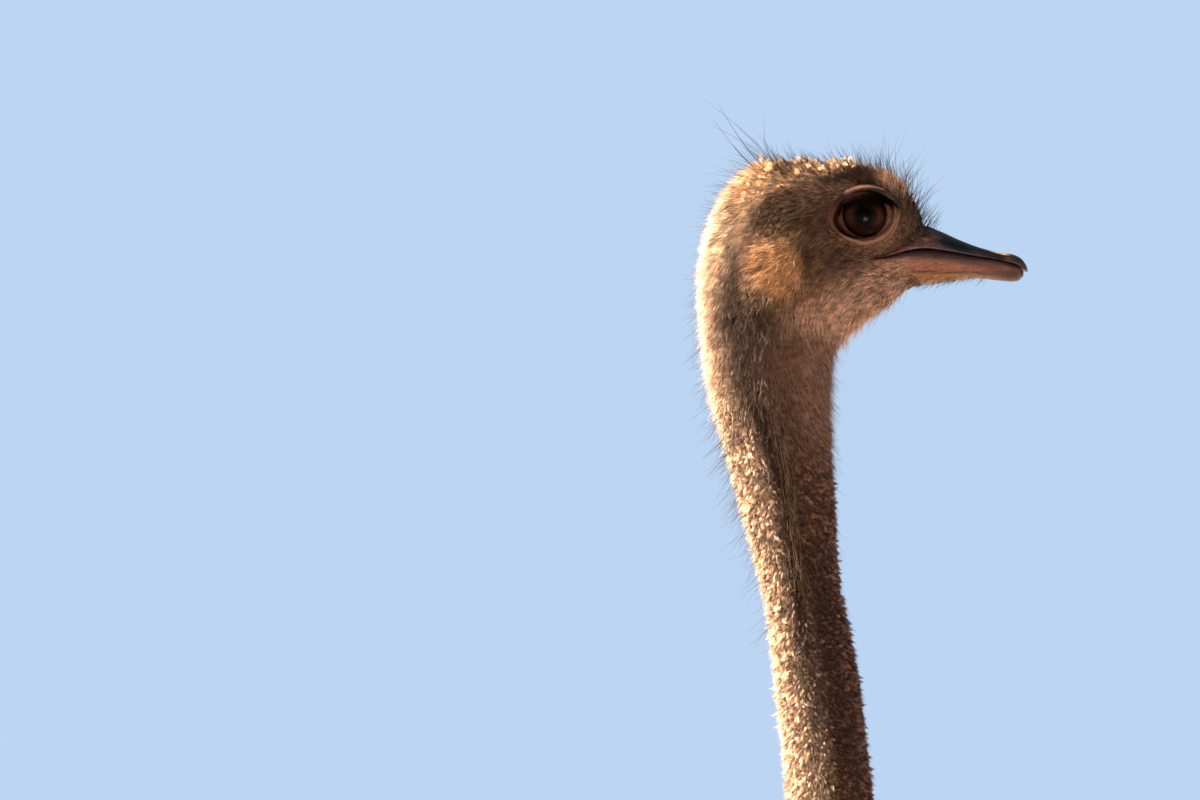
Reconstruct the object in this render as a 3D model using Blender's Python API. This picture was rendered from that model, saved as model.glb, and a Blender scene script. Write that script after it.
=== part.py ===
"""A hen ostrich standing at rest, life-size, in metres. It faces +X, with +Z up and the floor at z = 0.

Head, neck and trunk are one tube of ribs. Each rib joins a point of the outer line (forehead, crown, nape,
back, rump) to a point of the inner line (chin, throat, breast, belly), so the side outline is drawn by those
two lines, and the fan of ribs at the throat turns the head over the neck. Planes between ribs part the tube
into head, neck and trunk. Legs, wings and tail are tubes and plumes of their own, cut where they meet it.
"""

import math

import bpy
import numpy as np

# Driving sizes
EYE_X, EYE_Z = 0.500, 1.912        # the eye's centre stands over the breast
EYE_OUT = 0.0215                   # from the midline to the eyeball's centre
EYE_R = 0.020                      # eyeball
LID_OPENING = (0.0185, 0.0158)     # half length and half height of the gap between the lids
LID = 0.0022                       # how far the lids stand out over the eyeball
PART_GAP = 0.0005                  # between pieces that meet face to face
CUT_GAP = 0.0007                   # between a piece and the pocket it sits in
LEGS_X = -0.082                    # the legs' middle line, which puts the weight over the middle of the feet
STEP_AHEAD = 0.050                 # the right foot stands this far ahead of that line, the left one behind it
HIP_OUT = 0.118                    # from the midline to the thigh
FOOT_OUT = 0.105                   # from the midline to the foot
TAIL_TIP_X = -0.6083               # far enough back that the origin is under the middle of the bird
MM = 0.001

DOWN = ("hen_down", (0.43, 0.34, 0.27), 0.9)
PLUMAGE = ("grey_brown_plumage", (0.20, 0.165, 0.135), 0.9)
PLUMES = ("pale_plumes", (0.47, 0.42, 0.35), 0.9)
BARE_SKIN = ("bare_skin", (0.44, 0.33, 0.27), 0.6)
SCUTES = ("leg_scales", (0.24, 0.19, 0.15), 0.5)
HORN = ("bill_horn", (0.16, 0.11, 0.09), 0.35)
CLAW = ("claw_horn", (0.10, 0.085, 0.07), 0.4)
EYE = ("eye", (0.035, 0.02, 0.012), 0.05)


# Plain tools

def material(look):
    name, colour, roughness = look
    found = bpy.data.materials.get(name)
    if found:
        return found
    made = bpy.data.materials.new(name)
    made.use_nodes = True
    shader = made.node_tree.nodes["Principled BSDF"]
    shader.inputs["Base Color"].default_value = (*colour, 1)
    shader.inputs["Roughness"].default_value = roughness
    shader.inputs["Metallic"].default_value = 0
    return made


def spline(rows, at):
    """A smooth curve through the rows, read at row number `at`, which may lie between two rows."""
    rows = np.asarray(rows, float)
    last = len(rows) - 1
    i = min(int(at), last - 1)
    t = at - i
    before, a, b, after = rows[max(i - 1, 0)], rows[i], rows[i + 1], rows[min(i + 2, last)]
    return 0.5 * (2 * a + (b - before) * t + (2 * before - 5 * a + 4 * b - after) * t ** 2
                  + (3 * (a - b) + after - before) * t ** 3)


def tube(name, rings, look):
    """One closed body through rings of equally many points, with a flat cap on each end."""
    count = len(rings[0])
    points = [tuple(p) for ring in rings for p in ring]
    faces = []
    for r in range(len(rings) - 1):
        for i in range(count):
            j = (i + 1) % count
            faces.append((r * count + i, r * count + j, (r + 1) * count + j, (r + 1) * count + i))
    faces.append(tuple(reversed(range(count))))
    faces.append(tuple(range((len(rings) - 1) * count, len(rings) * count)))
    mesh = bpy.data.meshes.new(name)
    mesh.from_pydata(points, [], faces)
    mesh.update()
    body = bpy.data.objects.new(name, mesh)
    bpy.context.scene.collection.objects.link(body)
    face_out(mesh)
    mesh.shade_smooth()
    mesh.set_sharp_from_angle(angle=math.radians(50))
    mesh.materials.append(material(look))
    return body


def face_out(mesh):
    """Turns every face round if the closed mesh is inside out."""
    mesh.calc_loop_triangles()
    points = np.array([v.co for v in mesh.vertices])
    corners = points[np.array([t.vertices for t in mesh.loop_triangles])]
    if np.linalg.det(corners).sum() < 0:
        mesh.flip_normals()


def ellipse(count, power=2.0):
    """Points (cos, sin) round a circle, squared off a little where the power is over 2."""
    turn = np.arange(count) * 2 * math.pi / count
    c, s = np.cos(turn), np.sin(turn)
    return np.sign(c) * abs(c) ** (2 / power), np.sign(s) * abs(s) ** (2 / power)


def limb_rings(stations, count, rings):
    """Rings square to a bent line through stations of (x, y, z, half depth, half width)."""
    at = np.linspace(0, len(stations) - 1, rings)
    read = np.array([spline(stations, u) for u in at])
    centres = read[:, :3]
    along = np.gradient(centres, axis=0)
    along /= np.linalg.norm(along, axis=1)[:, None]
    side = np.cross(along, (0, 1, 0))
    side /= np.linalg.norm(side, axis=1)[:, None]
    wide = np.cross(side, along)
    c, s = ellipse(count)
    return [centre + np.outer(c, d * front) + np.outer(s, w * across)
            for centre, front, across, d, w in zip(centres, side, wide, read[:, 3], read[:, 4])]


def helper(body):
    body.hide_render = True
    body.display_type = "WIRE"
    return body


def grown(body, by=CUT_GAP):
    """A hidden copy of a piece, a little larger all round, which cuts the pocket that the piece sits in."""
    copy = bpy.data.objects.new(body.name + "_pocket", body.data.copy())
    bpy.context.scene.collection.objects.link(copy)
    normals = [v.normal.copy() for v in copy.data.vertices]
    for vertex, normal in zip(copy.data.vertices, normals):
        vertex.co += normal * by
    return helper(copy)


def combine(body, others, operation):
    group = bpy.data.collections.new(body.name + "_" + operation.lower())
    for other in others:
        group.objects.link(other)
    boolean = body.modifiers.new(operation.title(), "BOOLEAN")
    boolean.operation = operation
    boolean.operand_type = "COLLECTION"
    boolean.collection = group
    boolean.solver = "EXACT"
    return body


def ball(name, centre, radii, look, segments=20, rings=12):
    """An ellipsoid whose poles lie to the left and right of the bird."""
    c, s = ellipse(segments)
    turned = []
    for r in range(rings):
        angle = math.pi * (r + 0.5) / rings
        out = math.sin(angle)
        turned.append(np.stack([centre[0] + radii[0] * out * c,
                                np.full(segments, centre[1] + radii[1] * math.cos(angle)),
                                centre[2] + radii[2] * out * s], axis=1))
    return tube(name, turned, look)


# The long tube: head, neck and trunk

def head_rib(outer, inner, width, widest):
    """A rib of the head in millimetres from the eye's centre."""
    return (EYE_X + outer[0] * MM, EYE_Z + outer[1] * MM, EYE_X + inner[0] * MM, EYE_Z + inner[1] * MM,
            width * MM, widest)


# outer point x and z, inner point x and z, half width, place of the widest line from inner 0 to outer 1
RIBS = [
    head_rib((46, -10), (41, -43), 17, 0.42),       # 0 feathers end over the bill
    head_rib((38, -5.5), (33, -45.5), 21.5, 0.42),
    head_rib((31.5, 10), (24, -50.5), 25, 0.44),    # brow
    head_rib((23, 23.5), (15, -58), 29.5, 0.50),
    head_rib((9, 31), (6, -64), 35, 0.62),          # 4 over the eye
    head_rib((-9, 37), (-3, -70), 38.5, 0.66),
    head_rib((-29, 37.5), (-9.5, -75.5), 39.5, 0.66),
    head_rib((-49, 38), (-14, -80.5), 39.5, 0.62),  # crown
    head_rib((-68, 36.5), (-17.5, -85), 39, 0.57),
    head_rib((-84, 25), (-19.5, -90), 38.5, 0.53),
    head_rib((-97, 6), (-20.5, -95.5), 38, 0.51),   # occiput
    head_rib((-105, -19), (-21.2, -101.5), 37.5, 0.50),
    head_rib((-108, -46), (-21.8, -109), 36.5, 0.50),
    head_rib((-106, -80), (-22, -120), 35, 0.50),   # 13 nape
    head_rib((-101, -117), (-21.5, -136), 33.5, 0.50),
    head_rib((-91, -156), (-19.5, -165), 31.5, 0.50),
    head_rib((-79.5, -197), (-17.3, -203), 29.5, 0.50),
    head_rib((-70, -232), (-15, -236), 27.5, 0.50),
    head_rib((-63.5, -262), (-8.5, -266), 27, 0.50),
    head_rib((-59.3, -305), (-1.2, -309), 28, 0.50),
    (0.4467, 1.538, 0.5064, 1.536, 0.0300, 0.50),   # 20 middle of the neck
    (0.4410, 1.440, 0.5110, 1.436, 0.0345, 0.50),
    (0.4270, 1.340, 0.5080, 1.328, 0.0400, 0.50),
    (0.4000, 1.255, 0.4990, 1.222, 0.0480, 0.50),
    (0.3560, 1.195, 0.4850, 1.118, 0.0640, 0.52),   # 24 foot of the neck
    (0.2850, 1.160, 0.4660, 1.005, 0.0980, 0.52),
    (0.1900, 1.158, 0.4120, 0.872, 0.1500, 0.52),   # breast
    (0.0700, 1.168, 0.2700, 0.762, 0.1900, 0.52),
    (-0.0600, 1.172, 0.0900, 0.722, 0.2050, 0.53),  # 28 loins
    (-0.1900, 1.163, -0.0900, 0.735, 0.2000, 0.54),
    (-0.3000, 1.138, -0.2300, 0.790, 0.1750, 0.55),
    (-0.3900, 1.095, -0.3400, 0.862, 0.1250, 0.55), # rump
    (-0.4450, 1.045, -0.4150, 0.935, 0.0700, 0.50),
]
NAPE, NECK_UPPER_END, NECK_MIDDLE_END, NECK_FOOT, TAIL_HEAD = 13.4, 18.0, 22.0, 24.6, 32.0
FEATHER_ROWS, FEATHER_FILES = 10, 12    # overlapping rows of body feathers, and feathers round a row
FEATHER_STEP = 0.011                    # how far a feather's tip stands over the next row


def rib_ring(at, count, shaggy=0.0):
    """The ring of points at rib number `at`. Shaggy rings stand out where a row of feathers ends."""
    ox, oz, ix, iz, width, widest = spline(RIBS, at)
    c, s = ellipse(count)
    across = iz + widest * (oz - iz), ix + widest * (ox - ix)
    up = np.where(c > 0, c, 0)
    down = np.where(c < 0, -c, 0)
    x = across[1] + up * (ox - across[1]) + down * (ix - across[1])
    z = across[0] + up * (oz - across[0]) + down * (iz - across[0])
    ring = np.stack([x, s * width, z], axis=1)
    if shaggy:
        file = np.arange(count) * FEATHER_FILES / count
        row = (at - NECK_FOOT) * FEATHER_ROWS / (TAIL_HEAD - NECK_FOOT)
        tip = (row + 0.35 * np.abs(np.sin(math.pi * file))) % 1.0
        middle = ring.mean(axis=0)
        out = ring - middle
        out /= np.linalg.norm(out, axis=1)[:, None]
        ring += out * (shaggy * (tip - 0.6))[:, None]
    return ring


def parted(ring, following):
    """The ring moved square to its own plane, towards the following one, by the gap between pieces."""
    n = len(ring)
    square = np.cross(ring[0] - ring[n // 2], ring[n // 4] - ring[3 * n // 4])
    square *= np.sign(square @ (following.mean(axis=0) - ring.mean(axis=0))) / np.linalg.norm(square)
    return ring + square * PART_GAP


def stretch(name, start, end, count, rings, look, open_start=True):
    """One length of the long tube, from rib `start` to rib `end`, parted from the length before it."""
    at = np.linspace(start, end, rings)
    made = [rib_ring(u, count) for u in at]
    if open_start:
        made[0] = parted(made[0], made[1])
    return tube(name, made, look)


def face_forms(body):
    """Raises the lids and the cheek over the head's plain tube."""
    for vertex in body.data.vertices:
        x, y, z = vertex.co.x - EYE_X, vertex.co.y, vertex.co.z - EYE_Z
        near = (EYE_R + LID) ** 2 - x * x - z * z
        if near > 0 and abs(y) > EYE_OUT:
            over = EYE_OUT + math.sqrt(near)
            vertex.co.y = math.copysign(max(abs(y), over), y)
        lores = math.exp(-((x - 0.030) / 0.010) ** 2 - ((z + 0.004) / 0.011) ** 2)
        vertex.co.y -= math.copysign(0.0035 * lores, y) if abs(y) > 0.004 else 0
    body.data.update()


def make_head():
    head = stretch("head", 0.0, NAPE, 24, 22, DOWN, open_start=False)
    face_forms(head)
    pockets = [grown(piece) for piece in make_bill()]
    for side, sign in (("right", -1), ("left", 1)):
        eye = ball(f"eye_{side}", (EYE_X, sign * EYE_OUT, EYE_Z), (EYE_R,) * 3, EYE, 12, 7)
        ear = ball(f"ear_{side}", (EYE_X - 0.063, sign * 0.0315, EYE_Z - 0.034), (0.0185, 0.0105, 0.0225),
                   DOWN, 12, 6)
        gap = ball(f"lid_gap_{side}", (EYE_X, sign * (EYE_OUT + 0.022), EYE_Z),
                   (LID_OPENING[0], 0.02, LID_OPENING[1]), BARE_SKIN, 14, 6)
        pockets += [grown(eye), grown(ear), helper(gap)]
    combine(head, pockets, "DIFFERENCE")


# The bill: an upper and a lower half, which meet along the mouth line

# ahead of the eye, top, mouth line, bottom, half width, all in millimetres from the eye's centre
BILL = [
    (4, -24.5, -26.9, -38, 29.5),
    (14, -20.5, -25.3, -41, 28.6),
    (26, -12.5, -21.8, -43.5, 26.8),
    (37, -6.5, -20.8, -44.2, 24.4),
    (48, -9.8, -22.0, -43.0, 21.4),
    (60, -15.2, -24.0, -41.3, 18.2),
    (72, -19.8, -26.3, -39.9, 15.4),
    (84, -23.0, -29.3, -41.2, 13.6),
    (94, -24.7, -32.4, -42.0, 12.2),
    (100.5, -28.2, -35.2, -39.8, 8.6),
    (103.4, -32.4, -36.8, -37.8, 3.2),
]
BILL_SLIT = 0.5                         # the gap between the halves, in millimetres
NOSTRIL = (57.0, -19.2)                 # ahead of and above the eye, in millimetres


def bill_half(name, upper, count, rings):
    made = []
    half = count // 2
    for at in np.linspace(0, len(BILL) - 1, rings):
        x, top, mouth, bottom, width = spline(BILL, at)
        angle = np.linspace(0, math.pi, half + 1)
        if upper:
            crown = np.sin(angle) ** 1.15
            y = width * np.cos(angle)
            z = mouth + BILL_SLIT / 2 + (top - mouth - BILL_SLIT / 2) * crown
        else:
            crown = np.sin(angle) ** 0.8
            y = (width - 0.6) * np.cos(angle)
            z = mouth - BILL_SLIT / 2 + (bottom - mouth + BILL_SLIT / 2) * crown
        shut = np.cos(angle[1:-1])[::-1] * abs(y[0])
        flat = np.full(half - 1, z[0])
        y = np.concatenate([y, shut * -1 if y[-1] > 0 else shut])
        z = np.concatenate([z, flat])
        ring = np.stack([np.full(len(y), EYE_X + x * MM), y * MM, EYE_Z + z * MM], axis=1)
        made.append(ring)
    return tube(name, made, HORN)


def make_bill():
    upper = bill_half("bill_upper", True, 14, 11)
    lower = bill_half("bill_lower", False, 14, 11)
    nostrils = []
    for side, sign in (("right", -1), ("left", 1)):
        pit = ball(f"nostril_{side}", (EYE_X + NOSTRIL[0] * MM, sign * 0.0165, EYE_Z + NOSTRIL[1] * MM),
                   (0.0065, 0.0045, 0.0021), HORN, 8, 5)
        nostrils.append(helper(pit))
    combine(upper, nostrils, "DIFFERENCE")
    return upper, lower


# Trunk, with rows of overlapping feathers, and the wings and tail that lie on it

def make_trunk():
    at = np.linspace(NECK_FOOT, TAIL_HEAD, 2 * FEATHER_ROWS + 3)
    rings = [rib_ring(u, 2 * FEATHER_FILES, FEATHER_STEP) for u in at]
    rings[0] = parted(rib_ring(NECK_FOOT, 2 * FEATHER_FILES), rings[1])
    return tube("trunk", rings, PLUMAGE)


def smooth_trunk():
    """A cutter with the trunk's place and none of its feather tips, clear of them all round."""
    rings = [rib_ring(u, 2 * FEATHER_FILES) for u in np.linspace(NECK_FOOT - 0.3, TAIL_HEAD, 20)]
    plain = tube("trunk_clear", rings, PLUMAGE)
    for vertex in plain.data.vertices:
        vertex.co += vertex.normal * (0.4 * FEATHER_STEP + CUT_GAP)
    return helper(plain)


def plume(name, start, middle, tip, width, thick, across, look, rings=5, count=6):
    """A drooping plume along a bent line: narrow at its root, broad past the middle and round at its tip."""
    made = []
    start, middle, tip, across = (np.array(p, float) for p in (start, middle, tip, across))
    for t in np.linspace(0.0, 1.0, rings):
        centre = (1 - t) ** 2 * start + 2 * t * (1 - t) * middle + t * t * tip
        along = 2 * (1 - t) * (middle - start) + 2 * t * (tip - middle)
        along /= np.linalg.norm(along)
        flat = across - along * (across @ along)
        flat /= np.linalg.norm(flat)
        deep = np.cross(flat, along)
        full = 0.40 + 1.1 * t - 0.95 * t ** 3.2 if t < 1 else 0.22
        c, s = ellipse(count)
        made.append(centre + np.outer(c, flat * width * full) + np.outer(s, deep * thick * min(1, full + 0.2)))
    return tube(name, made, look)


WING_PLUMES = 6


def make_wing(side, sign, cutters):
    """Coverts over the shoulder and flank, and the pale plumes that hang from the folded wing's edge."""
    stations = [(0.295, sign * 0.105, 1.055, 0.020, 0.020), (0.250, sign * 0.160, 1.035, 0.085, 0.036),
                (0.130, sign * 0.200, 1.000, 0.145, 0.040), (-0.030, sign * 0.212, 0.975, 0.165, 0.042),
                (-0.190, sign * 0.203, 0.965, 0.150, 0.040), (-0.320, sign * 0.168, 0.955, 0.110, 0.036),
                (-0.400, sign * 0.125, 0.945, 0.050, 0.020)]
    rings = limb_rings(stations, 12, 9)
    wing = tube(f"wing_{side}", rings, PLUMAGE)
    plumes = []
    for i in range(WING_PLUMES):
        t = i / (WING_PLUMES - 1)
        out = -0.030 * t
        start = (0.110 - 0.395 * t, sign * (0.203 + out), 0.925 + 0.02 * t)
        middle = (0.050 - 0.410 * t, sign * (0.231 + out), 0.850 + 0.01 * t)
        tip = (-0.030 - 0.420 * t, sign * (0.229 + out), 0.765 + 0.02 * t)
        plumes.append(helper(plume(f"wing_plume_{side}_{i}", start, middle, tip, 0.056, 0.019,
                                   (1, -0.15 * sign, 0), PLUMES)))
    combine(wing, plumes, "UNION")
    combine(wing, cutters, "DIFFERENCE")


TAIL_PLUMES = 6


def make_tail(cutter):
    """A bunch of drooping plumes from the rump."""
    root = tube("tail", limb_rings([(-0.375, 0, 1.035, 0.050, 0.075), (-0.440, 0, 1.020, 0.052, 0.080),
                                    (-0.500, 0, 0.985, 0.034, 0.060), (-0.530, 0, 0.955, 0.015, 0.03)], 12, 6),
                PLUMES)
    plumes = []
    for i in range(TAIL_PLUMES):
        side = 2 * i / (TAIL_PLUMES - 1) - 1
        low = 0.03 * side * side
        start = (-0.41, 0.055 * side, 1.03 - low)
        middle = (-0.52 + 0.02 * abs(side), 0.075 * side, 1.07 - low)
        tip = (TAIL_TIP_X + 0.060 * abs(side), 0.115 * side, 0.86 - low)
        plumes.append(helper(plume(f"tail_plume_{i}", start, middle, tip, 0.047, 0.021, (0, 1, 0), PLUMES)))
    combine(root, plumes, "UNION")
    combine(root, [cutter], "DIFFERENCE")


# Legs

RINGS_PER_STATION = 2
HOCK, TOE_JOINT = 13, 24                # the rings where thigh, shank and foot are parted


def leg_line(sign, ahead):
    """Stations from hip to toe joint as (x, y, z, half depth, half width). The foot stands `ahead`."""
    def at(x, out, z, depth, width, share):
        return (LEGS_X + x + ahead * share, sign * out, z, depth, width)
    return [
        at(-0.005, HIP_OUT + 0.010, 0.960, 0.100, 0.050, 0.00),
        at(0.022, HIP_OUT + 0.012, 0.880, 0.128, 0.070, 0.05),
        at(0.016, HIP_OUT + 0.008, 0.800, 0.124, 0.072, 0.15),
        at(-0.012, HIP_OUT + 0.002, 0.715, 0.094, 0.060, 0.30),
        at(-0.048, HIP_OUT - 0.004, 0.630, 0.058, 0.043, 0.45),
        at(-0.074, HIP_OUT - 0.008, 0.565, 0.039, 0.033, 0.55),
        at(-0.088, HIP_OUT - 0.009, 0.522, 0.041, 0.036, 0.60),    # hock
        at(-0.094, HIP_OUT - 0.010, 0.490, 0.045, 0.038, 0.62),
        at(-0.090, HIP_OUT - 0.010, 0.450, 0.035, 0.030, 0.66),
        at(-0.076, HIP_OUT - 0.011, 0.350, 0.0265, 0.0220, 0.76),
        at(-0.060, HIP_OUT - 0.012, 0.220, 0.0255, 0.0210, 0.88),
        at(-0.048, FOOT_OUT, 0.120, 0.0300, 0.0260, 0.97),
        at(-0.042, FOOT_OUT, 0.080, 0.0360, 0.0330, 1.00),         # toe joint
        at(-0.037, FOOT_OUT, 0.060, 0.0370, 0.0350, 1.00),
        at(-0.034, FOOT_OUT, 0.040, 0.0300, 0.0290, 1.00),
        at(-0.033, FOOT_OUT, 0.028, 0.0140, 0.0140, 1.00),
    ]


def toe_rings(joint, aim, stations, count, rings, floor=0.0):
    """Rings across a toe that leaves the joint at angle `aim`. Stations are (ahead, middle height, half
    height, half width). What would pass below the floor is pressed flat on it."""
    forward = np.array((math.cos(aim), math.sin(aim), 0))
    across = np.array((-forward[1], forward[0], 0))
    c, s = ellipse(count, 2.3)
    made = []
    for u in np.linspace(0, len(stations) - 1, rings):
        ahead, middle, high, wide = spline(stations, u)
        ring = np.array(joint) + forward * ahead + np.outer(s, across * wide)
        ring[:, 2] = np.maximum(middle + c * high, floor)
        made.append(ring)
    return made


# ahead of the joint, middle height, half height, half width
BIG_TOE = [(-0.012, 0.052, 0.020, 0.020), (0.015, 0.048, 0.026, 0.029), (0.045, 0.034, 0.026, 0.0285),
           (0.075, 0.022, 0.027, 0.0270), (0.105, 0.017, 0.024, 0.0280), (0.135, 0.014, 0.0235, 0.0290),
           (0.160, 0.012, 0.0195, 0.0250), (0.174, 0.0105, 0.0150, 0.0190)]
BIG_CLAW = [(0.1745, 0.0145, 0.0120, 0.0150), (0.190, 0.0140, 0.0105, 0.0125), (0.208, 0.0105, 0.0075, 0.0085),
            (0.224, 0.0055, 0.0035, 0.0035)]
SMALL_TOE = [(0.000, 0.050, 0.018, 0.018), (0.022, 0.040, 0.020, 0.0200), (0.045, 0.026, 0.020, 0.0190),
             (0.070, 0.015, 0.0175, 0.0180), (0.092, 0.012, 0.0165, 0.0185), (0.110, 0.009, 0.0120, 0.0135),
             (0.119, 0.007, 0.0070, 0.0070)]
SMALL_TOE_SPLAY = math.radians(27)


def make_leg(side, sign, ahead, trunk_cutter):
    line = leg_line(sign, ahead)
    rings = limb_rings(line, 10, RINGS_PER_STATION * (len(line) - 1) + 1)
    thigh = tube(f"thigh_{side}", rings[:HOCK + 1], BARE_SKIN)
    tube(f"shank_{side}", [parted(rings[HOCK], rings[HOCK + 1])] + rings[HOCK + 1:TOE_JOINT + 1], SCUTES)
    foot = tube(f"foot_{side}", [parted(rings[TOE_JOINT], rings[TOE_JOINT + 1])] + rings[TOE_JOINT + 1:], SCUTES)
    combine(thigh, [trunk_cutter], "DIFFERENCE")

    middle = rings[-1].mean(axis=0)
    big_joint = (middle[0], middle[1], 0)
    small_joint = (middle[0] + 0.002, middle[1] + sign * 0.012, 0)
    big = tube(f"toe_inner_{side}", toe_rings(big_joint, 0, BIG_TOE, 10, 10), SCUTES)
    tube(f"claw_inner_{side}", toe_rings(big_joint, 0, BIG_CLAW, 8, 5), CLAW)
    small = tube(f"toe_outer_{side}", toe_rings(small_joint, sign * SMALL_TOE_SPLAY, SMALL_TOE, 8, 8), SCUTES)
    combine(big, [grown(foot)], "DIFFERENCE")
    combine(small, [grown(foot), grown(big)], "DIFFERENCE")
    return grown(thigh)


for old in list(bpy.data.objects):
    bpy.data.objects.remove(old, do_unlink=True)

make_head()
stretch("neck_upper", NAPE, NECK_UPPER_END, 18, 8, DOWN)
stretch("neck_middle", NECK_UPPER_END, NECK_MIDDLE_END, 18, 7, DOWN)
stretch("neck_lower", NECK_MIDDLE_END, NECK_FOOT, 18, 6, DOWN)
make_trunk()
clear_of_trunk = smooth_trunk()
for leg_side, leg_sign, leg_ahead in (("right", -1, STEP_AHEAD), ("left", 1, -STEP_AHEAD)):
    thigh_pocket = make_leg(leg_side, leg_sign, leg_ahead, clear_of_trunk)
    make_wing(leg_side, leg_sign, [clear_of_trunk, thigh_pocket])
make_tail(clear_of_trunk)
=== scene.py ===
"""The looks of a life-size hen ostrich that stands at rest: skin, eyes, bill, claws, down and plumage.

It works in metres in the model's own frame: the bird faces +X, its left is +Y, and the floor is z = 0.
"""

import math
from contextlib import contextmanager

import bmesh
import bpy
import numpy as np
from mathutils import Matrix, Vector
from mathutils.bvhtree import BVHTree
from mathutils.kdtree import KDTree


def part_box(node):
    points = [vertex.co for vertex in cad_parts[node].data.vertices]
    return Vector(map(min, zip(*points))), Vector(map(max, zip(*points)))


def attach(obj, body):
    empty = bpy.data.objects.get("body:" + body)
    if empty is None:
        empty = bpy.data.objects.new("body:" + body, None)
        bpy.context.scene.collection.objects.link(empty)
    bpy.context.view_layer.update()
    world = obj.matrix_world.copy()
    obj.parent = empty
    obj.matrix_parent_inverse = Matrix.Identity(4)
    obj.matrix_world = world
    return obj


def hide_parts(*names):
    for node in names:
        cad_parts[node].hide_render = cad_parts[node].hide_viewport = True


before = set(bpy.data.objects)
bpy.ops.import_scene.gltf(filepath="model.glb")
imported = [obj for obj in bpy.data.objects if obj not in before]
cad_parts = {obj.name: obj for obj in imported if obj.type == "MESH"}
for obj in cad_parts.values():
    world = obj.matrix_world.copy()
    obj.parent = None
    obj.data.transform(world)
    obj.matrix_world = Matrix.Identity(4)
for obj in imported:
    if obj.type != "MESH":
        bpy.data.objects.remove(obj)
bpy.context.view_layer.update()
MM = 0.001
SIDES = (("right", -1), ("left", 1))


# Skin of the head, neck and trunk
# One seamless hide from the forehead to the rump, drawn by ribs: each joins a point of the outer line
# (forehead, crown, nape, back) to a point of the inner line (chin, throat, breast, belly). It lies under the
# outline by the depth of the down or feathers that grow on it.

eye_low, eye_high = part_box("eye_right")
EYE_X, EYE_Z = (eye_low.x + eye_high.x) / 2, (eye_low.z + eye_high.z) / 2
EYE_OUT = -(eye_low.y + eye_high.y) / 2
EYE_R = (eye_high.x - eye_low.x) / 2

# Each rib: outer point x and z, inner point x and z, half width, and place of the widest line from inner 0 to
# outer 1. These are in mm from the eye: rib 0 stands where the feathers end over the bill, 4 over the eye, 10
# at the occiput, 13 at the nape and 19 at the middle of the neck.
HEAD_RIBS = np.array([
    (46, -10, 41, -43, 17, 0.42), (38, -5.5, 33, -45.5, 21.5, 0.42), (31.5, 10, 24, -50.5, 25, 0.44),
    (23, 23.5, 15, -58, 29.5, 0.5), (9, 31, 6, -64, 35, 0.62), (-9, 37, -3, -70, 38.5, 0.66),
    (-29, 37.5, -9.5, -75.5, 39.5, 0.66), (-49, 38, -14, -80.5, 39.5, 0.62),
    (-68, 36.5, -17.5, -85, 39, 0.57), (-84, 25, -19.5, -90, 38.5, 0.53), (-97, 6, -20.5, -95.5, 38, 0.51),
    (-105, -19, -21.2, -101.5, 37.5, 0.5), (-108, -46, -21.8, -109, 36.5, 0.5),
    (-106, -80, -22, -120, 35, 0.5), (-101, -117, -21.5, -136, 33.5, 0.5),
    (-91, -156, -19.5, -165, 31.5, 0.5), (-79.5, -197, -17.3, -203, 29.5, 0.5),
    (-70, -232, -15, -236, 27.5, 0.5), (-63.5, -262, -8.5, -266, 27, 0.5),
    (-59.3, -305, -1.2, -309, 28, 0.5)])
# These are in metres: ribs 20 to 23 stand in the lower neck, 24 at its foot, 26 at the breast, 28 at the
# loins and 31 at the rump.
BODY_RIBS = np.array([
    (0.4467, 1.538, 0.5064, 1.536, 0.03, 0.5), (0.441, 1.44, 0.511, 1.436, 0.0345, 0.5),
    (0.427, 1.34, 0.508, 1.328, 0.04, 0.5), (0.4, 1.255, 0.499, 1.222, 0.048, 0.5),
    (0.356, 1.195, 0.485, 1.118, 0.064, 0.52), (0.285, 1.16, 0.466, 1.005, 0.098, 0.52),
    (0.19, 1.158, 0.412, 0.872, 0.15, 0.52), (0.07, 1.168, 0.27, 0.762, 0.19, 0.52),
    (-0.06, 1.172, 0.09, 0.722, 0.205, 0.53), (-0.19, 1.163, -0.09, 0.735, 0.2, 0.54),
    (-0.3, 1.138, -0.23, 0.79, 0.175, 0.55), (-0.39, 1.095, -0.34, 0.862, 0.125, 0.55),
    (-0.445, 1.045, -0.415, 0.935, 0.07, 0.5)])
HEAD_RIBS[:, :5] *= MM
RIBS = np.concatenate([HEAD_RIBS + (EYE_X, EYE_Z, EYE_X, EYE_Z, 0, 0), BODY_RIBS])
HEAD_END, NECK_END, NECK_FOOT, TAIL_HEAD = 13.4, 20.2, 24.6, 32.0
# Depth of the coat at some of the ribs: over the outer line, at the sides and over the inner line, in mm.
COAT_AT = (0, 2, 4, 6, 9, 13, 18, 22, 24.6, 26, 28, 31, 32)
COAT_DEPTH = np.array([
    (2, 2, 2), (2.4, 2, 2), (4, 2, 2.5), (7, 2.5, 3), (7, 4, 4), (6, 5, 4), (4.2, 4, 4), (5.5, 5.5, 5.5),
    (18, 16, 18), (32, 30, 34), (38, 34, 40), (34, 30, 34), (24, 24, 24)]) * MM
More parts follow.
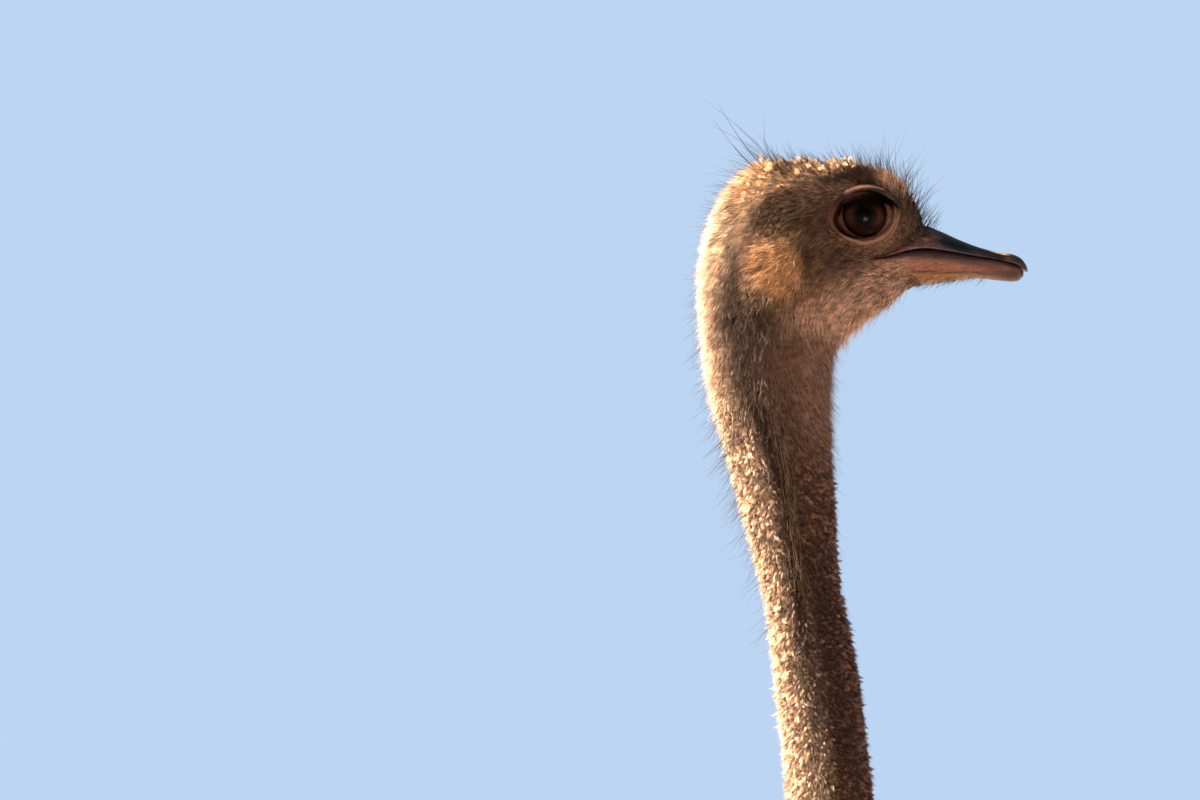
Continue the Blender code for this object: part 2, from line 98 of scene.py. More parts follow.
# The bill, which the face meets flush: ahead of the eye, top, mouth line, bottom and half width, in mm.
BILL = np.array([
    (4, -25.5, -29.3, -38.5, 29.5), (14, -21.5, -27.6, -41, 28.6), (26, -12.8, -24.1, -43.5, 26.8),
    (37, -6.5, -22.8, -44.2, 24.4), (48, -9.8, -23.7, -43.0, 21.4), (60, -15.2, -25.4, -41.3, 18.2),
    (72, -19.8, -27.6, -39.9, 15.4), (84, -23.0, -30.3, -41.2, 13.6), (94, -24.7, -33.2, -42.0, 12.2),
    (99.5, -27.2, -35.3, -41.2, 9.8), (102.6, -30.6, -36.6, -39.8, 6.4), (103.9, -33.6, -37.3, -38.6, 3.4),
    (104.1, -35.6, -37.4, -38.0, 1.2)])
SKIN_COLUMNS = 120
SKIN_ROWS = ((0.0, HEAD_END, 1.5 * MM), (HEAD_END, NECK_END, 3.5 * MM), (NECK_END, NECK_FOOT, 7 * MM),
             (NECK_FOOT, TAIL_HEAD, 13 * MM))


def through(rows, at):
    """A smooth curve through the rows, read at row numbers that may lie between rows."""
    last = len(rows) - 1
    i = np.clip(at.astype(int), 0, last - 1)
    t = (at - i)[:, None]
    before, a, b, after = rows[np.maximum(i - 1, 0)], rows[i], rows[i + 1], rows[np.minimum(i + 2, last)]
    return 0.5 * (2 * a + (b - before) * t + (2 * before - 5 * a + 4 * b - after) * t ** 2
                  + (3 * (a - b) + after - before) * t ** 3)


def spaced(start, end, step):
    """Rib numbers from start to end whose longer line, outer or inner, advances by about one step."""
    fine = np.linspace(start, end, 3000)
    lines = through(RIBS, fine)
    run = np.maximum(np.hypot(*np.diff(lines[:, 0:2], axis=0).T), np.hypot(*np.diff(lines[:, 2:4], axis=0).T))
    run = np.concatenate([[0], run.cumsum()])
    return np.interp(np.linspace(0, run[-1], round(run[-1] / step) + 1), run, fine)


def outline(at, turn):
    """Points of the outline over rib numbers and turns. Turn 0 is the outer line and pi the inner line."""
    ox, oz, ix, iz, width, widest = through(RIBS, at).T[..., None]
    cos, sin = np.cos(turn), np.sin(turn)
    mx, mz = ix + widest * (ox - ix), iz + widest * (oz - iz)
    up, down = np.maximum(cos, 0), np.maximum(-cos, 0)
    x = mx + up * (ox - mx) + down * (ix - mx)
    z = mz + up * (oz - mz) + down * (iz - mz)
    return np.stack([x, sin * width, z], axis=-1)


def unit(vectors):
    return vectors / np.maximum(np.linalg.norm(vectors, axis=-1, keepdims=True), 1e-12)


def ridge(value, middle, width):
    """A soft ridge of height 1 where the value passes the middle."""
    return np.exp(-((value - middle) / width) ** 2)


def bump(x, z, at, size):
    """A soft round hill of height 1, centred at `at`, in millimetres from the eye."""
    return np.exp(-((x - at[0]) / size[0]) ** 2 - ((z - at[1]) / size[1]) ** 2)


def ramp(start, end, value):
    """A smooth way from 0 at the start to 1 at the end, which may be the lower of the two."""
    t = np.clip((value - start) / (end - start), 0, 1)
    return t * t * (3 - 2 * t)


def from_eye(points):
    """Ahead of, above and beside the eye, in millimetres, for points in metres."""
    return (points[..., 0] - EYE_X) / MM, (points[..., 2] - EYE_Z) / MM, np.abs(points[..., 1]) / MM


def bill_section(x):
    """Top, mouth line, bottom and half width of the bill at places ahead of the eye, in mm."""
    return [np.interp(x, BILL[:, 0], BILL[:, k]) for k in (1, 2, 3, 4)]


def bill_side(x, z):
    """How far out the bill's side lies at a height of its section, in mm."""
    top, mouth, bottom, width = bill_section(x)
    share = np.clip(np.where(z > mouth, (z - mouth) / (top - mouth), (mouth - z) / (mouth - bottom)), 0, 1)
    return width * np.sqrt(1 - share ** (2 / np.where(z > mouth, 1.15, 0.8)))


def hide(at, turn):
    """Points of the skin over rib numbers and turns, the ways outward and along, and the coat's depth."""
    grid = outline(at, turn)
    along = unit(np.gradient(grid, axis=0))
    wrapped = np.concatenate([grid[:, -2:-1], grid, grid[:, 1:2]], axis=1)
    normal = unit(np.cross(wrapped[:, 2:] - wrapped[:, :-2], along))
    depth = np.stack([np.interp(at, COAT_AT, COAT_DEPTH[:, k]) for k in range(3)], axis=1)
    cos = np.cos(turn)
    coat = depth @ np.stack([np.maximum(cos, 0) ** 2, 1 - cos ** 2, np.maximum(-cos, 0) ** 2])
    x, z, side = from_eye(grid)
    inset = coat.copy()
    inset -= 2.6 * MM * bump(x, z, (-59, -34), (17, 19)) * (side > 20)  # swelling over the ear
    inset -= 2.6 * MM * bump(x, z, (33, 1), (9, 10)) * ramp(17, 8, side)  # forehead
    inset += 2.2 * MM * bump(x, z, (-84, -38), (5, 22)) * (side > 12)  # groove behind the ear
    inset += 2.6 * MM * bump(x, z, (31, -3), (9, 9)) * (side > 6)  # dip beside the bill's root
    inset -= 1.3 * MM * bump(x, z, (9, 24), (15, 6)) * (side > 12)  # brow
    inset += 1.4 * MM * ridge(x, parting_line(z), 2.6) * (
        ramp(-235, -215, z) * ramp(-75, -100, z)) * (side > 15)
    wing = 1 - ((grid[..., 0] + 0.05) / 0.36) ** 2 - ((grid[..., 2] - 0.975) / 0.15) ** 2
    inset -= 0.028 * np.sqrt(np.clip(wing, 0, 1)) * (at > 25)[:, None]
    skin = grid - normal * inset[..., None]
    x, z, side = from_eye(skin)
    top, mouth, bottom = bill_section(x)[:3]
    flush = ramp(-8, 4, x) * ramp(top + 2, top - 3, z) * ramp(bottom - 2, bottom + 5, z)
    under = 0.8 + 2.4 * ridge(z, mouth, 2.2) * ramp(2, 8, x)
    skin[..., 1] += np.sign(skin[..., 1]) * np.clip(bill_side(x, z) - under - side, -4.0, 4.5) * flush * MM
    return skin, normal, along, coat


def parting_line(z):
    """How far ahead of the eye the parting in the down of the neck's side runs, in mm."""
    return np.interp(z, (-230, -80), (-46, -63))


def ring_faces(rings, count, closed=True):
    """Quads between rings of `count` points that lie one after another."""
    r, i = np.meshgrid(np.arange(rings - 1), np.arange(count if closed else count - 1), indexing="ij")
    a, b = r * count + i, r * count + (i + 1) % count
    return np.stack([a, b, b + count, a + count], axis=-1).reshape(-1, 4)


def new_mesh(name, points, faces):
    mesh = bpy.data.meshes.new(name)
    mesh.from_pydata(np.asarray(points).tolist(), [], faces)
    return mesh


def tube_mesh(name, rings):
    """A closed mesh through rings, with a fan on each end."""
    count = rings.shape[1]
    points = np.concatenate([rings.reshape(-1, 3), rings[:1].mean(axis=1), rings[-1:].mean(axis=1)])
    faces = ring_faces(len(rings), count).tolist()
    last = (len(rings) - 1) * count
    for i in range(count):
        j = (i + 1) % count
        faces += [(j, i, len(points) - 2), (last + i, last + j, len(points) - 1)]
    return new_mesh(name, points, faces)


@contextmanager
def opened(mesh):
    """Opens a mesh for a change, then stores it with its faces turned outward."""
    work = bmesh.new()
    work.from_mesh(mesh)
    yield work
    bmesh.ops.recalc_face_normals(work, faces=work.faces)
    work.to_mesh(mesh)
    work.free()


def outward(mesh, smooth=True):
    """The mesh with its faces turned outward, shaded smooth or flat."""
    with opened(mesh):
        pass
    if smooth:
        mesh.shade_smooth()
    return mesh


turns = np.linspace(-math.pi, math.pi, SKIN_COLUMNS + 1)
rows = np.concatenate([spaced(*band)[:-1] for band in SKIN_ROWS] + [[TAIL_HEAD]])
skin_grid, skin_out, skin_along, coat_depth = hide(rows, turns)
RUMP_LENGTH = 0.055
RUMP_WAY = np.array((-0.9, 0, -0.43))
end_ring = skin_grid[-1, :-1]
end_middle = end_ring.mean(axis=0)
rump = [end_middle + (end_ring - end_middle) * math.sqrt(1 - t * t) + RUMP_WAY * RUMP_LENGTH * t
        for t in (0.2, 0.4, 0.6, 0.78, 0.92)]
hide_mesh = tube_mesh("hide", np.concatenate([skin_grid[:, :-1], np.array(rump)]))


# Eyelids
# Bare grey-pink lids, part of the skin: rings round each eye that line the socket behind the eyeball, roll
# over the lid's edge and run out over a few soft folds to the feathered cheek.

# The almond between the lids: turn from straight ahead over the top in degrees, and reach in mm.
LID_LINE = ((12, 18.6), (27, 16.6), (44, 13.4), (69, 10.9), (92, 10.2), (115, 10.6), (141, 13.2), (165, 17.6),
            (180, 19.6), (194, 19.9), (208, 18.8), (227, 16.7), (249, 15.1), (271, 14.6), (295, 15.0),
            (319, 16.2), (342, 17.6))
LID_HEIGHT = 5.4                    # from the upper lid's edge to the fold over it, at its middle, mm
LID_OUTER = (26.5, 29.5, 22.5, 26)  # reach ahead, behind, above and below, where the lids join the cheek, mm
LID_AT = (-2.4, -3.0)               # the lids' middle, ahead of and above the eye's, mm
LID_TILT = math.radians(9)          # the front corner stands higher than the rear one
LID_EDGE = 0.8                      # half the lid's thickness, mm
LID_COLUMNS = 112
SOCKET_R = EYE_R / MM + 0.35        # the socket's lining clears the eyeball by 0.35 mm
SOCKET_TURNS = (172, 150, 125, 100, 80)     # rings of the lining, in degrees from straight out
EDGE_TURNS = (0, 40, 80, 110, 145, 180)     # rings over the lid's rounded edge, in degrees
LID_SOFTNESS = 2.2                  # how gently the bulge over the eye runs into the cheek, mm


def round_lids(x, z):
    """Turn round the lids' middle and distance from it, for places in mm from the eye."""
    return np.arctan2(z - LID_AT[1], x - LID_AT[0]), np.hypot(x - LID_AT[0], z - LID_AT[1])


def oval(angle):
    """Distance from the lids' middle to the tilted oval where they join the cheek, in mm."""
    cos, sin = np.cos(angle - LID_TILT), np.sin(angle - LID_TILT)
    wide = np.where(cos > 0, LID_OUTER[0], LID_OUTER[1])
    high = np.where(sin > 0, LID_OUTER[2], LID_OUTER[3])
    return 1 / np.hypot(cos / wide, sin / high)


def opening(angle):
    """Distance from the lids' middle to their edge, in mm."""
    turn, reach = np.array(LID_LINE).T
    turn, reach = np.concatenate([turn - 360, turn, turn + 360]), np.tile(reach, 3)
    at = np.degrees(angle) % 360
    soft = (-7, -3.5, 0, 3.5, 7)
    return sum(np.interp(at + step, turn, reach) for step in soft) / len(soft)


def upper_lid(angle):
    """Height of the upper lid from its edge to the fold over it, in mm; the skin paints this strip near
    black, partly as shade. It is 0 elsewhere.
    """
    share = np.clip((np.degrees(angle) % 360 - 12) / 156, 0, 1)
    return LID_HEIGHT * np.clip(np.sin(math.pi * share), 0, 1) ** 0.8


def lid_folds(x, z):
    """Height of the lids' folds and the share of painted shade in their creases, both 0 to 1, and the way
    across the lid.
    """
    angle, r = round_lids(x, z)
    rim, outer = opening(angle) + upper_lid(angle), oval(angle)
    across = (r - rim) / (outer - rim)
    below = ramp(0.25, -0.5, np.sin(angle - LID_TILT))
    wave = (1.6 + 1.9 * below) * across + 0.22 * np.sin(2 * angle + 1) + 0.09 * np.sin(5 * angle)
    wave += 0.05 * np.sin(13 * angle + 9 * across)
    fold = np.abs(np.sin(math.pi * wave))
    strength = (0.5 + 0.5 * below) * (1 - 0.35 * np.sin(3 * angle + 2) ** 2)
    crease = np.clip(1 - fold * 1.9, 0, 1) * (across > 0.05) * strength
    return 1 - (1 - fold ** 0.7) * strength, crease, across


def lid_ring(r, y, angle, sign, middle=LID_AT):
    x, z = EYE_X + (middle[0] + r * np.cos(angle)) * MM, EYE_Z + (middle[1] + r * np.sin(angle)) * MM
    return np.stack([x, np.broadcast_to(sign * (EYE_OUT + y * MM), x.shape), z], axis=1)


def on_ball(radius, r, angle):
    """How far out a ball round the eye's centre stands at a place of the lids, in mm."""
    x, z = LID_AT[0] + r * np.cos(angle), LID_AT[1] + r * np.sin(angle)
    return np.sqrt(np.clip(radius ** 2 - x ** 2 - z ** 2, 1, None))


def lid_rings(sign, cheek):
    """Rings from the back of the socket over the lid's edge to the cheek, whose depth `cheek` tells."""
    angle = np.linspace(0, 2 * math.pi, LID_COLUMNS, endpoint=False)
    rim, outer = opening(angle), oval(angle)
    lid = upper_lid(angle)
    made = []
    for turn in np.radians(SOCKET_TURNS):
        made.append(lid_ring(np.full(LID_COLUMNS, SOCKET_R * math.sin(turn)), SOCKET_R * math.cos(turn),
                             angle, sign, (0, 0)))
    for turn in np.radians(EDGE_TURNS):
        r = rim - LID_EDGE * math.sin(turn)
        made.append(lid_ring(r, on_ball(SOCKET_R + LID_EDGE * (1 - math.cos(turn)), r, angle), angle, sign))
    for across in np.linspace(0, 1, 30)[1:]:
        r = rim + (outer - rim) * across
        ring = lid_ring(r, 0, angle, sign)
        over_eye = on_ball(SOCKET_R + 2 * LID_EDGE, r, angle)
        on_cheek = np.array([cheek(p[0], p[2]) for p in ring]) / MM - EYE_OUT / MM
        y = np.logaddexp(over_eye / LID_SOFTNESS, on_cheek / LID_SOFTNESS) * LID_SOFTNESS
        fold = lid_folds(LID_AT[0] + r * np.cos(angle), LID_AT[1] + r * np.sin(angle))[0]
        y += 1.1 * (fold - 0.8) * ramp(1.0, 0.7, across) * ramp(0, 0.08, across)
        over = r - rim - lid
        y += lid / LID_HEIGHT * (0.6 * ridge(over, 2.3, 1.9) - 0.9 * ridge(over, 0, 0.7))
        y = y + (on_cheek - y) * ramp(0.62, 1.0, across)
        ring[:, 1] = sign * (EYE_OUT + y * MM)
        made.append(ring)
    return np.array(made)


def fit_lids(work, sign):
    """Cuts a hole in the cheek and joins the lids' rings to its edge."""
    work.verts.index_update()
    tree = BVHTree.FromBMesh(work)

    def cheek(x, z):
        return abs(tree.ray_cast(Vector((x, sign * 0.2, z)), Vector((0, -sign, 0)))[0].y)

    rings = lid_rings(sign, cheek)
    hole = []
    for face in work.faces:
        middle = face.calc_center_median()
        angle, r = round_lids((middle.x - EYE_X) / MM, (middle.z - EYE_Z) / MM)
        if middle.y * sign > 0.008 and r < oval(angle) + 1.6:
            hole.append(face)
    bmesh.ops.delete(work, geom=hole, context="FACES")
    for vertex in [v for v in work.verts if not v.link_faces]:
        work.verts.remove(vertex)
    edge = [e for e in work.edges if e.is_boundary]
    verts = [[work.verts.new(p) for p in ring] for ring in rings]
    pole = work.verts.new(rings[0].mean(axis=0))
    for i in range(LID_COLUMNS):
        j = (i + 1) % LID_COLUMNS
        work.faces.new((verts[0][j], verts[0][i], pole))
        for r in range(len(verts) - 1):
            work.faces.new((verts[r][i], verts[r][j], verts[r + 1][j], verts[r + 1][i]))
    loop = [work.edges.get((verts[-1][i], verts[-1][(i + 1) % LID_COLUMNS])) for i in range(LID_COLUMNS)]
    bmesh.ops.bridge_loops(work, edges=edge + loop)
    near = set(v for e in edge for v in e.verts)
    near |= set(e.other_vert(v) for v in near for e in v.link_edges)
    for _ in range(6):
        bmesh.ops.smooth_vert(work, verts=list(near), factor=0.5, use_axis_x=True, use_axis_y=True,
                              use_axis_z=True)


with opened(hide_mesh) as work:
    for side, sign in SIDES:
        fit_lids(work, sign)


# Skin of the legs
# Bare thighs with the tendon's hollow above the hock, slim scaled shanks, and the two toes of each foot
# blended into it. The thighs are joined to the trunk's hide, so that the whole bird wears one skin.

CLAW_TIP = 0.224                    # from the toe joint to the big claw's tip
SCUTE_DEPTH = 0.0012                # the skin lies this far under the scales' outline
LEG_COLUMNS = 44
FOOT_VOXEL = 0.0024
FLOOR_GAP = 0.0012                  # parts of the foot lower than this lie flat on the floor
ANKLE_Z = 0.200                     # height where the shank's rings meet the blended foot
joint_x = {side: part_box(f"claw_inner_{side}")[1].x - CLAW_TIP for side, sign in SIDES}
LEGS_X = (joint_x["right"] + joint_x["left"]) / 2 + 0.033
STEP_AHEAD = (joint_x["right"] - joint_x["left"]) / 2
HIP_OUT, FOOT_OUT = 0.118, 0.105

# Stations from hip to toe joint: ahead of the leg's line, how far out, height, half depth, half width, and
# share of the foot's step. Station 6 is the hock and 12 the toe joint.
LEG = (
    (-0.005, HIP_OUT + 0.01, 0.96, 0.1, 0.05, 0.0), (0.022, HIP_OUT + 0.012, 0.88, 0.128, 0.07, 0.05),
    (0.016, HIP_OUT + 0.008, 0.8, 0.124, 0.072, 0.15), (-0.012, HIP_OUT + 0.002, 0.715, 0.094, 0.06, 0.3),
    (-0.048, HIP_OUT - 0.004, 0.63, 0.058, 0.043, 0.45), (-0.074, HIP_OUT - 0.008, 0.565, 0.039, 0.033, 0.55),
    (-0.088, HIP_OUT - 0.009, 0.522, 0.041, 0.036, 0.6), (-0.094, HIP_OUT - 0.01, 0.49, 0.045, 0.038, 0.62),
    (-0.09, HIP_OUT - 0.01, 0.45, 0.035, 0.03, 0.66), (-0.076, HIP_OUT - 0.011, 0.35, 0.0265, 0.022, 0.76),
    (-0.06, HIP_OUT - 0.012, 0.22, 0.0255, 0.021, 0.88), (-0.048, FOOT_OUT, 0.12, 0.03, 0.026, 0.97),
    (-0.042, FOOT_OUT, 0.08, 0.036, 0.033, 1.0), (-0.037, FOOT_OUT, 0.06, 0.037, 0.035, 1.0),
    (-0.034, FOOT_OUT, 0.04, 0.03, 0.029, 1.0), (-0.033, FOOT_OUT, 0.028, 0.014, 0.014, 1.0))
# Stations of toes and claw: ahead of the joint, middle height, half height, half width.
BIG_TOE = np.array([
    (-0.012, 0.052, 0.02, 0.02), (0.015, 0.048, 0.026, 0.029), (0.045, 0.034, 0.026, 0.0285),
    (0.075, 0.022, 0.027, 0.027), (0.105, 0.017, 0.024, 0.028), (0.135, 0.014, 0.0235, 0.029),
    (0.16, 0.012, 0.0195, 0.025), (0.174, 0.0105, 0.015, 0.019)])
BIG_CLAW = np.array([
    (0.1745, 0.0145, 0.012, 0.015), (0.19, 0.014, 0.0105, 0.0125), (0.208, 0.0105, 0.0075, 0.0085),
    (0.224, 0.0055, 0.0035, 0.0035)])
SMALL_TOE = np.array([
    (0.0, 0.05, 0.018, 0.018), (0.022, 0.04, 0.02, 0.02), (0.045, 0.026, 0.02, 0.019),
    (0.07, 0.015, 0.0175, 0.018), (0.092, 0.012, 0.0165, 0.0185), (0.11, 0.009, 0.012, 0.0135),
    (0.119, 0.007, 0.007, 0.007)])
SMALL_TOE_SPLAY = math.radians(27)
TOE_SQUARE = 2.3                    # power of the toes' rounded-square section; 2 would be an oval


def leg_line(sign):
    """Stations from hip to toe joint as (x, y, z, half depth, half width)."""
    ahead = STEP_AHEAD * -sign
    return np.array([(LEGS_X + x + ahead * share, sign * out, z, depth, width)
                     for x, out, z, depth, width, share in LEG])


def limb(stations, at, turn, inset=0.0):
    """Points round a limb over station numbers and turns, turn 0 in front."""
    read = through(stations, at)
    along = unit(np.gradient(read[:, :3], axis=0))
    front = unit(np.cross(along, (0, 1, 0)))
    wide = np.cross(front, along)
    cos, sin = np.cos(turn)[:, None], np.sin(turn)[:, None]
    out = unit(front[:, None] * cos / read[:, 3, None, None] + wide[:, None] * sin / read[:, 4, None, None])
    points = (read[:, None, :3] + front[:, None] * cos * read[:, 3, None, None]
              + wide[:, None] * sin * read[:, 4, None, None])
    return points - out * np.asarray(inset)[..., None]


def toe(joint, aim, stations, at, turn, inset=0.0):
    """Points across a toe over station numbers and turns, turn 0 on top, pressed flat on the floor."""
    read = through(stations, at)
    forward = np.array((math.cos(aim), math.sin(aim), 0))
    across = np.array((-forward[1], forward[0], 0))
    cos, sin = np.cos(turn)[:, None], np.sin(turn)[:, None]
    cos, sin = np.sign(cos) * np.abs(cos) ** (2 / TOE_SQUARE), np.sign(sin) * np.abs(sin) ** (2 / TOE_SQUARE)
    points = (np.array(joint) + forward * read[:, None, :1] + across * sin * (read[:, 3, None, None] - inset)
              + np.array((0, 0, 1)) * (read[:, 1, None, None] + cos * (read[:, 2, None, None] - inset)))
    points[..., 2] = np.maximum(points[..., 2], 0)
    return points


def new_object(name, mesh):
    made = bpy.data.objects.new(name, mesh)
    bpy.context.scene.collection.objects.link(made)
    return made


def applied(thing):
    """The object's mesh with its modifiers applied. The object itself is removed."""
    made = bpy.data.meshes.new_from_object(thing.evaluated_get(bpy.context.evaluated_depsgraph_get()))
    bpy.data.objects.remove(thing)
    return made


def toe_joints(side, sign):
    """The big toe's and the small toe's joints, on the floor under the foot."""
    return (joint_x[side], sign * FOOT_OUT, 0), (joint_x[side] + 0.002, sign * (FOOT_OUT + 0.012), 0)


def full_turn(count):
    """Turns round a closed ring, from pi behind to pi behind."""
    return np.linspace(-math.pi, math.pi, count + 1)[:-1]


def foot_mesh(side, sign, line):
    """The foot and its toes, blended by a fine remesh, open at the ankle."""
    ring = full_turn(32)
    big_joint, small_joint = toe_joints(side, sign)
    parts = bmesh.new()
    splay = sign * SMALL_TOE_SPLAY
    for rings in (limb(line, np.linspace(9.8, 15, 24), ring, SCUTE_DEPTH),
                  toe(big_joint, 0, BIG_TOE, np.linspace(0, 7, 34), ring, SCUTE_DEPTH),
                  toe(small_joint, splay, SMALL_TOE, np.linspace(0, 6, 26), ring, SCUTE_DEPTH)):
        parts.from_mesh(tube_mesh("foot", rings))
    together = bpy.data.meshes.new("foot")
    parts.to_mesh(together)
    parts.free()
    thing = new_object("foot_" + side, together)
    blend = thing.modifiers.new("Blend", "REMESH")
    blend.mode = "VOXEL"
    blend.voxel_size = FOOT_VOXEL
    thing.modifiers.new("Smooth", "SMOOTH").iterations = 5
    mesh = applied(thing)
    with opened(mesh) as work:
        bmesh.ops.bisect_plane(work, geom=work.verts[:] + work.edges[:] + work.faces[:], clear_outer=True,
                               plane_co=(0, 0, ANKLE_Z), plane_no=(0, 0, 1))
        for vertex in work.verts:
            vertex.co.z = 0 if vertex.co.z < FLOOR_GAP else vertex.co.z
    return mesh


def leg_mesh(side, sign):
    """One closed leg from inside the trunk to the toes."""
    line = leg_line(sign)
    at = np.linspace(0, 10.1, 118)
    turn = full_turn(LEG_COLUMNS)
    behind = np.abs(turn)[None, :]
    above_hock = np.interp(at, (2.6, 4.2, 5.6, 6.4), (0, 1, 1, 0))[:, None]
    down_shank = np.interp(at, (7.4, 8.6, 10), (0, 1, 1))[:, None]
    inset = np.interp(at, (6, 7.5), (0.6 * MM, SCUTE_DEPTH))[:, None] * np.ones(LEG_COLUMNS)
    inset = inset + 6 * MM * above_hock * ridge(behind, 2.05, 0.42)
    inset += 2.5 * MM * down_shank * ridge(behind, 1.75, 0.5)
    rings = limb(line, at, turn, inset)
    mesh = tube_mesh("leg_" + side, rings[rings[:, :, 2].min(axis=1) > ANKLE_Z + 0.003])
    with opened(mesh) as work:
        work.verts.ensure_lookup_table()
        bottom = work.verts[-1]
        edge = [e for f in bottom.link_faces for e in f.edges if bottom not in e.verts]
        work.verts.remove(bottom)
        work.from_mesh(foot_mesh(side, sign, line))
        loop = [e for e in work.edges if e.is_boundary and abs(e.verts[0].co.z - ANKLE_Z) < 1e-5]
        bmesh.ops.bridge_loops(work, edges=edge + loop)
    return mesh


skin = new_object("skin", hide_mesh)
for side, sign in SIDES:
    leg = new_object("leg_" + side, leg_mesh(side, sign))
    union = skin.modifiers.new("Leg", "BOOLEAN")
    union.operation = "UNION"
    union.solver = "EXACT"
    union.object = leg
skin = new_object("skin", applied(skin))
for side, sign in SIDES:
    bpy.data.objects.remove(bpy.data.objects["leg_" + side])
skin.data.name = "skin"
skin.data.shade_smooth()


# Finish of the skin
# Thin bird's skin, dull and faintly grained, brown-grey over the face and pinker where it is bare, with horny
# scales on the shanks and toes. Skin and coat take their colours, painted light and shade among them, from
# the same marked places.

BARE_DISTANCE = 6 * MM              # skin further than this from the trunk's hide belongs to a leg
HEAD_Z = 1.8                        # lids and bill are looked for over this height
grid_tree = KDTree(skin_grid.shape[0] * SKIN_COLUMNS)
for index, point in enumerate(skin_grid[:, :-1].reshape(-1, 3)):
    grid_tree.insert(point, index)
grid_tree.balance()


def place(points):
    """Rib number, turn from the outer line (0) to the inner line (pi), and distance to the hide."""
    found = [grid_tree.find(p) for p in points]
    index = np.array([f[1] for f in found])
    return rows[index // SKIN_COLUMNS], np.abs(turns[index % SKIN_COLUMNS]), np.array([f[2] for f in found])


def linear(shade):
    """An sRGB hex colour as linear red, green and blue."""
    share = np.array([int(shade[i:i + 2], 16) for i in (1, 3, 5)]) / 255
    return np.where(share > 0.04045, ((share + 0.055) / 1.055) ** 2.4, share / 12.92)


def painted(count, ground, *zones):
    """The linear colours of points: a ground colour, and shades laid over it in turn by their shares."""
    colour = np.ones((count, 3)) * (linear(ground) if isinstance(ground, str) else ground)
    for share, shade in zones:
        colour += (linear(shade) - colour) * np.clip(share, 0, 1)[:, None]
    return colour


def over_crown(x, z):
    """How far a place of the head lies over the lower edge of the crown's wool, in mm."""
    return z - np.interp(x, (-96, -72, -59, -25, -7, 12), (-30, 1, 14, 21, 28, 31))


def markings_and_painted_light(points):
    """The linear colour of skin and coat at points of the hide, laid down zone over zone: markings, and
    painted light and shade.
    """
    x, z, side = from_eye(points)
    at, turn, off = place(points)
    head = ramp(15.0, 12.5, at)
    low_side = ramp(-27, -45, z - 0.45 * x) * ramp(-90, -67, z + 0.2 * x)
    crown = ramp(-3, 4, over_crown(x, z)) * ramp(20, 0, x) * head
    nape = ramp(1.82, 1.22, turn + 0.3 * ramp(16, 12, at)) * ramp(8.3, 9.6, at)
    throat = ramp(1.8, 2.6, turn) * ramp(-170, -120, z) * ramp(-60, -75, z)
    ear_line = np.interp(z, (-66, -44, -31, -20), (-79, -84.5, -83.5, -82))
    ear_width = np.interp(z, (-62, -44, -31), (14, 7.5, 4.5))
    neck_shade_line = np.interp(z, (-321, -241, -174, -150, -107, -70), (-33, -45, -54, -61, -77, -81))
    neck_shade_width = np.interp(z, (-240, -150, -107), (8.0, 9.5, 13))
    painted_shade_behind_ear = ridge(x, ear_line, ear_width) * ramp(-8, -24, z) * ramp(-84, -66, z) * (side > 8)
    painted_neck_shade = ridge(x, neck_shade_line, neck_shade_width) * ramp(-56, -78, z) * ramp(-430, -240, z) * ramp(5, 15, side)

    def spot(at, size, share=1.0, over=head):
        return share * bump(x, z, at, size) * over

    return painted(
        len(points), "#8a6a55",
        (ramp(11, 15, at), "#7f5f4f"),
        (ramp(2.0, 2.7, turn) * ramp(11, 15, at), "#85665a"),
        (0.7 * ridge(turn, 1.95, 0.5) * ramp(-180, -240, z) * ramp(21, 19, at), "#46322a"),
        (throat, "#a28273"),
        (low_side * ramp(32, 20, x) * head, "#d8b6a2"),
        (spot((-46, -3), (38, 14), 1.3) * ramp(-83, -70, x), "#432c1e"),
        (spot((-31, -3), (11, 13), 0.6), "#76523c"),
        (spot((-81, -69), (14, 24), 1.0, 1), "#6b4a38"),
        (crown, "#efd6ba"),
        (spot((-47, 27), (7, 6), 0.8, crown), "#7d5d46"),
        (spot((-4, 22), (24, 7)), "#3e2a20"),
        # The pale back of the neck is partly its paler down and partly painted sunlight, narrowed to the lit
        # band high on the neck.
        (nape, "#ecd2b8"),
        # Painted shade in the groove behind the ear tuft.
        (1.2 * painted_shade_behind_ear, "#3d281c"),
        # Painted shade under the ear tuft.
        (spot((-72, -62), (17, 13), 1.4, side > 12), "#38241a"),
        (spot((-83, -138), (6, 20), 0.35, 1), "#5a4030"),
        (spot((-60, -8), (13, 9), 1.5), "#301d14"),
        # Painted shade: a dark band down the side of the neck, beside the sunlit nape.
        (painted_neck_shade, "#452f22"),
        (spot((25, 2), (13, 20)), "#75605a"),
        # The pale brow ahead of the eye is partly pale down and partly painted sunlight on the top of the
        # brow.
        (spot((21, 20), (11, 7), 1.3), "#f0d9c0"),
        (spot((20, -1), (6, 5)), "#9c7a4c"),
        (spot((30, -5), (6, 5)), "#9a8070"),
        (spot((-24, -29), (20, 7)), "#5a3d31"),
        (spot((-56, -33), (17, 18), 1.5, side > 15), "#e4b886"),
        (spot((-73, -32), (7, 15), 1.1, side > 12), "#86552e"),
        # Painted highlight: sunlight on the back of the head.
        (spot((-90, 0), (9, 30), 0.9) * (z > -60), "#fff0dc"),
        (spot((-37, -28), (4, 13), 1.1, side > 15), "#452d1f"),
        (ramp(NECK_FOOT - 2.5, NECK_FOOT + 0.8, at), "#6d6056"),
        (ramp(2.2, 2.9, turn) * ramp(26, 28, at), "#9a8d80"),
        (np.float64((off > BARE_DISTANCE) & (at > NECK_END)), "#a58e82"),
        (ramp(0.56, 0.48, points[:, 2]), "#85786c"))


def places(mesh):
    return np.array([vertex.co[:] for vertex in mesh.vertices])


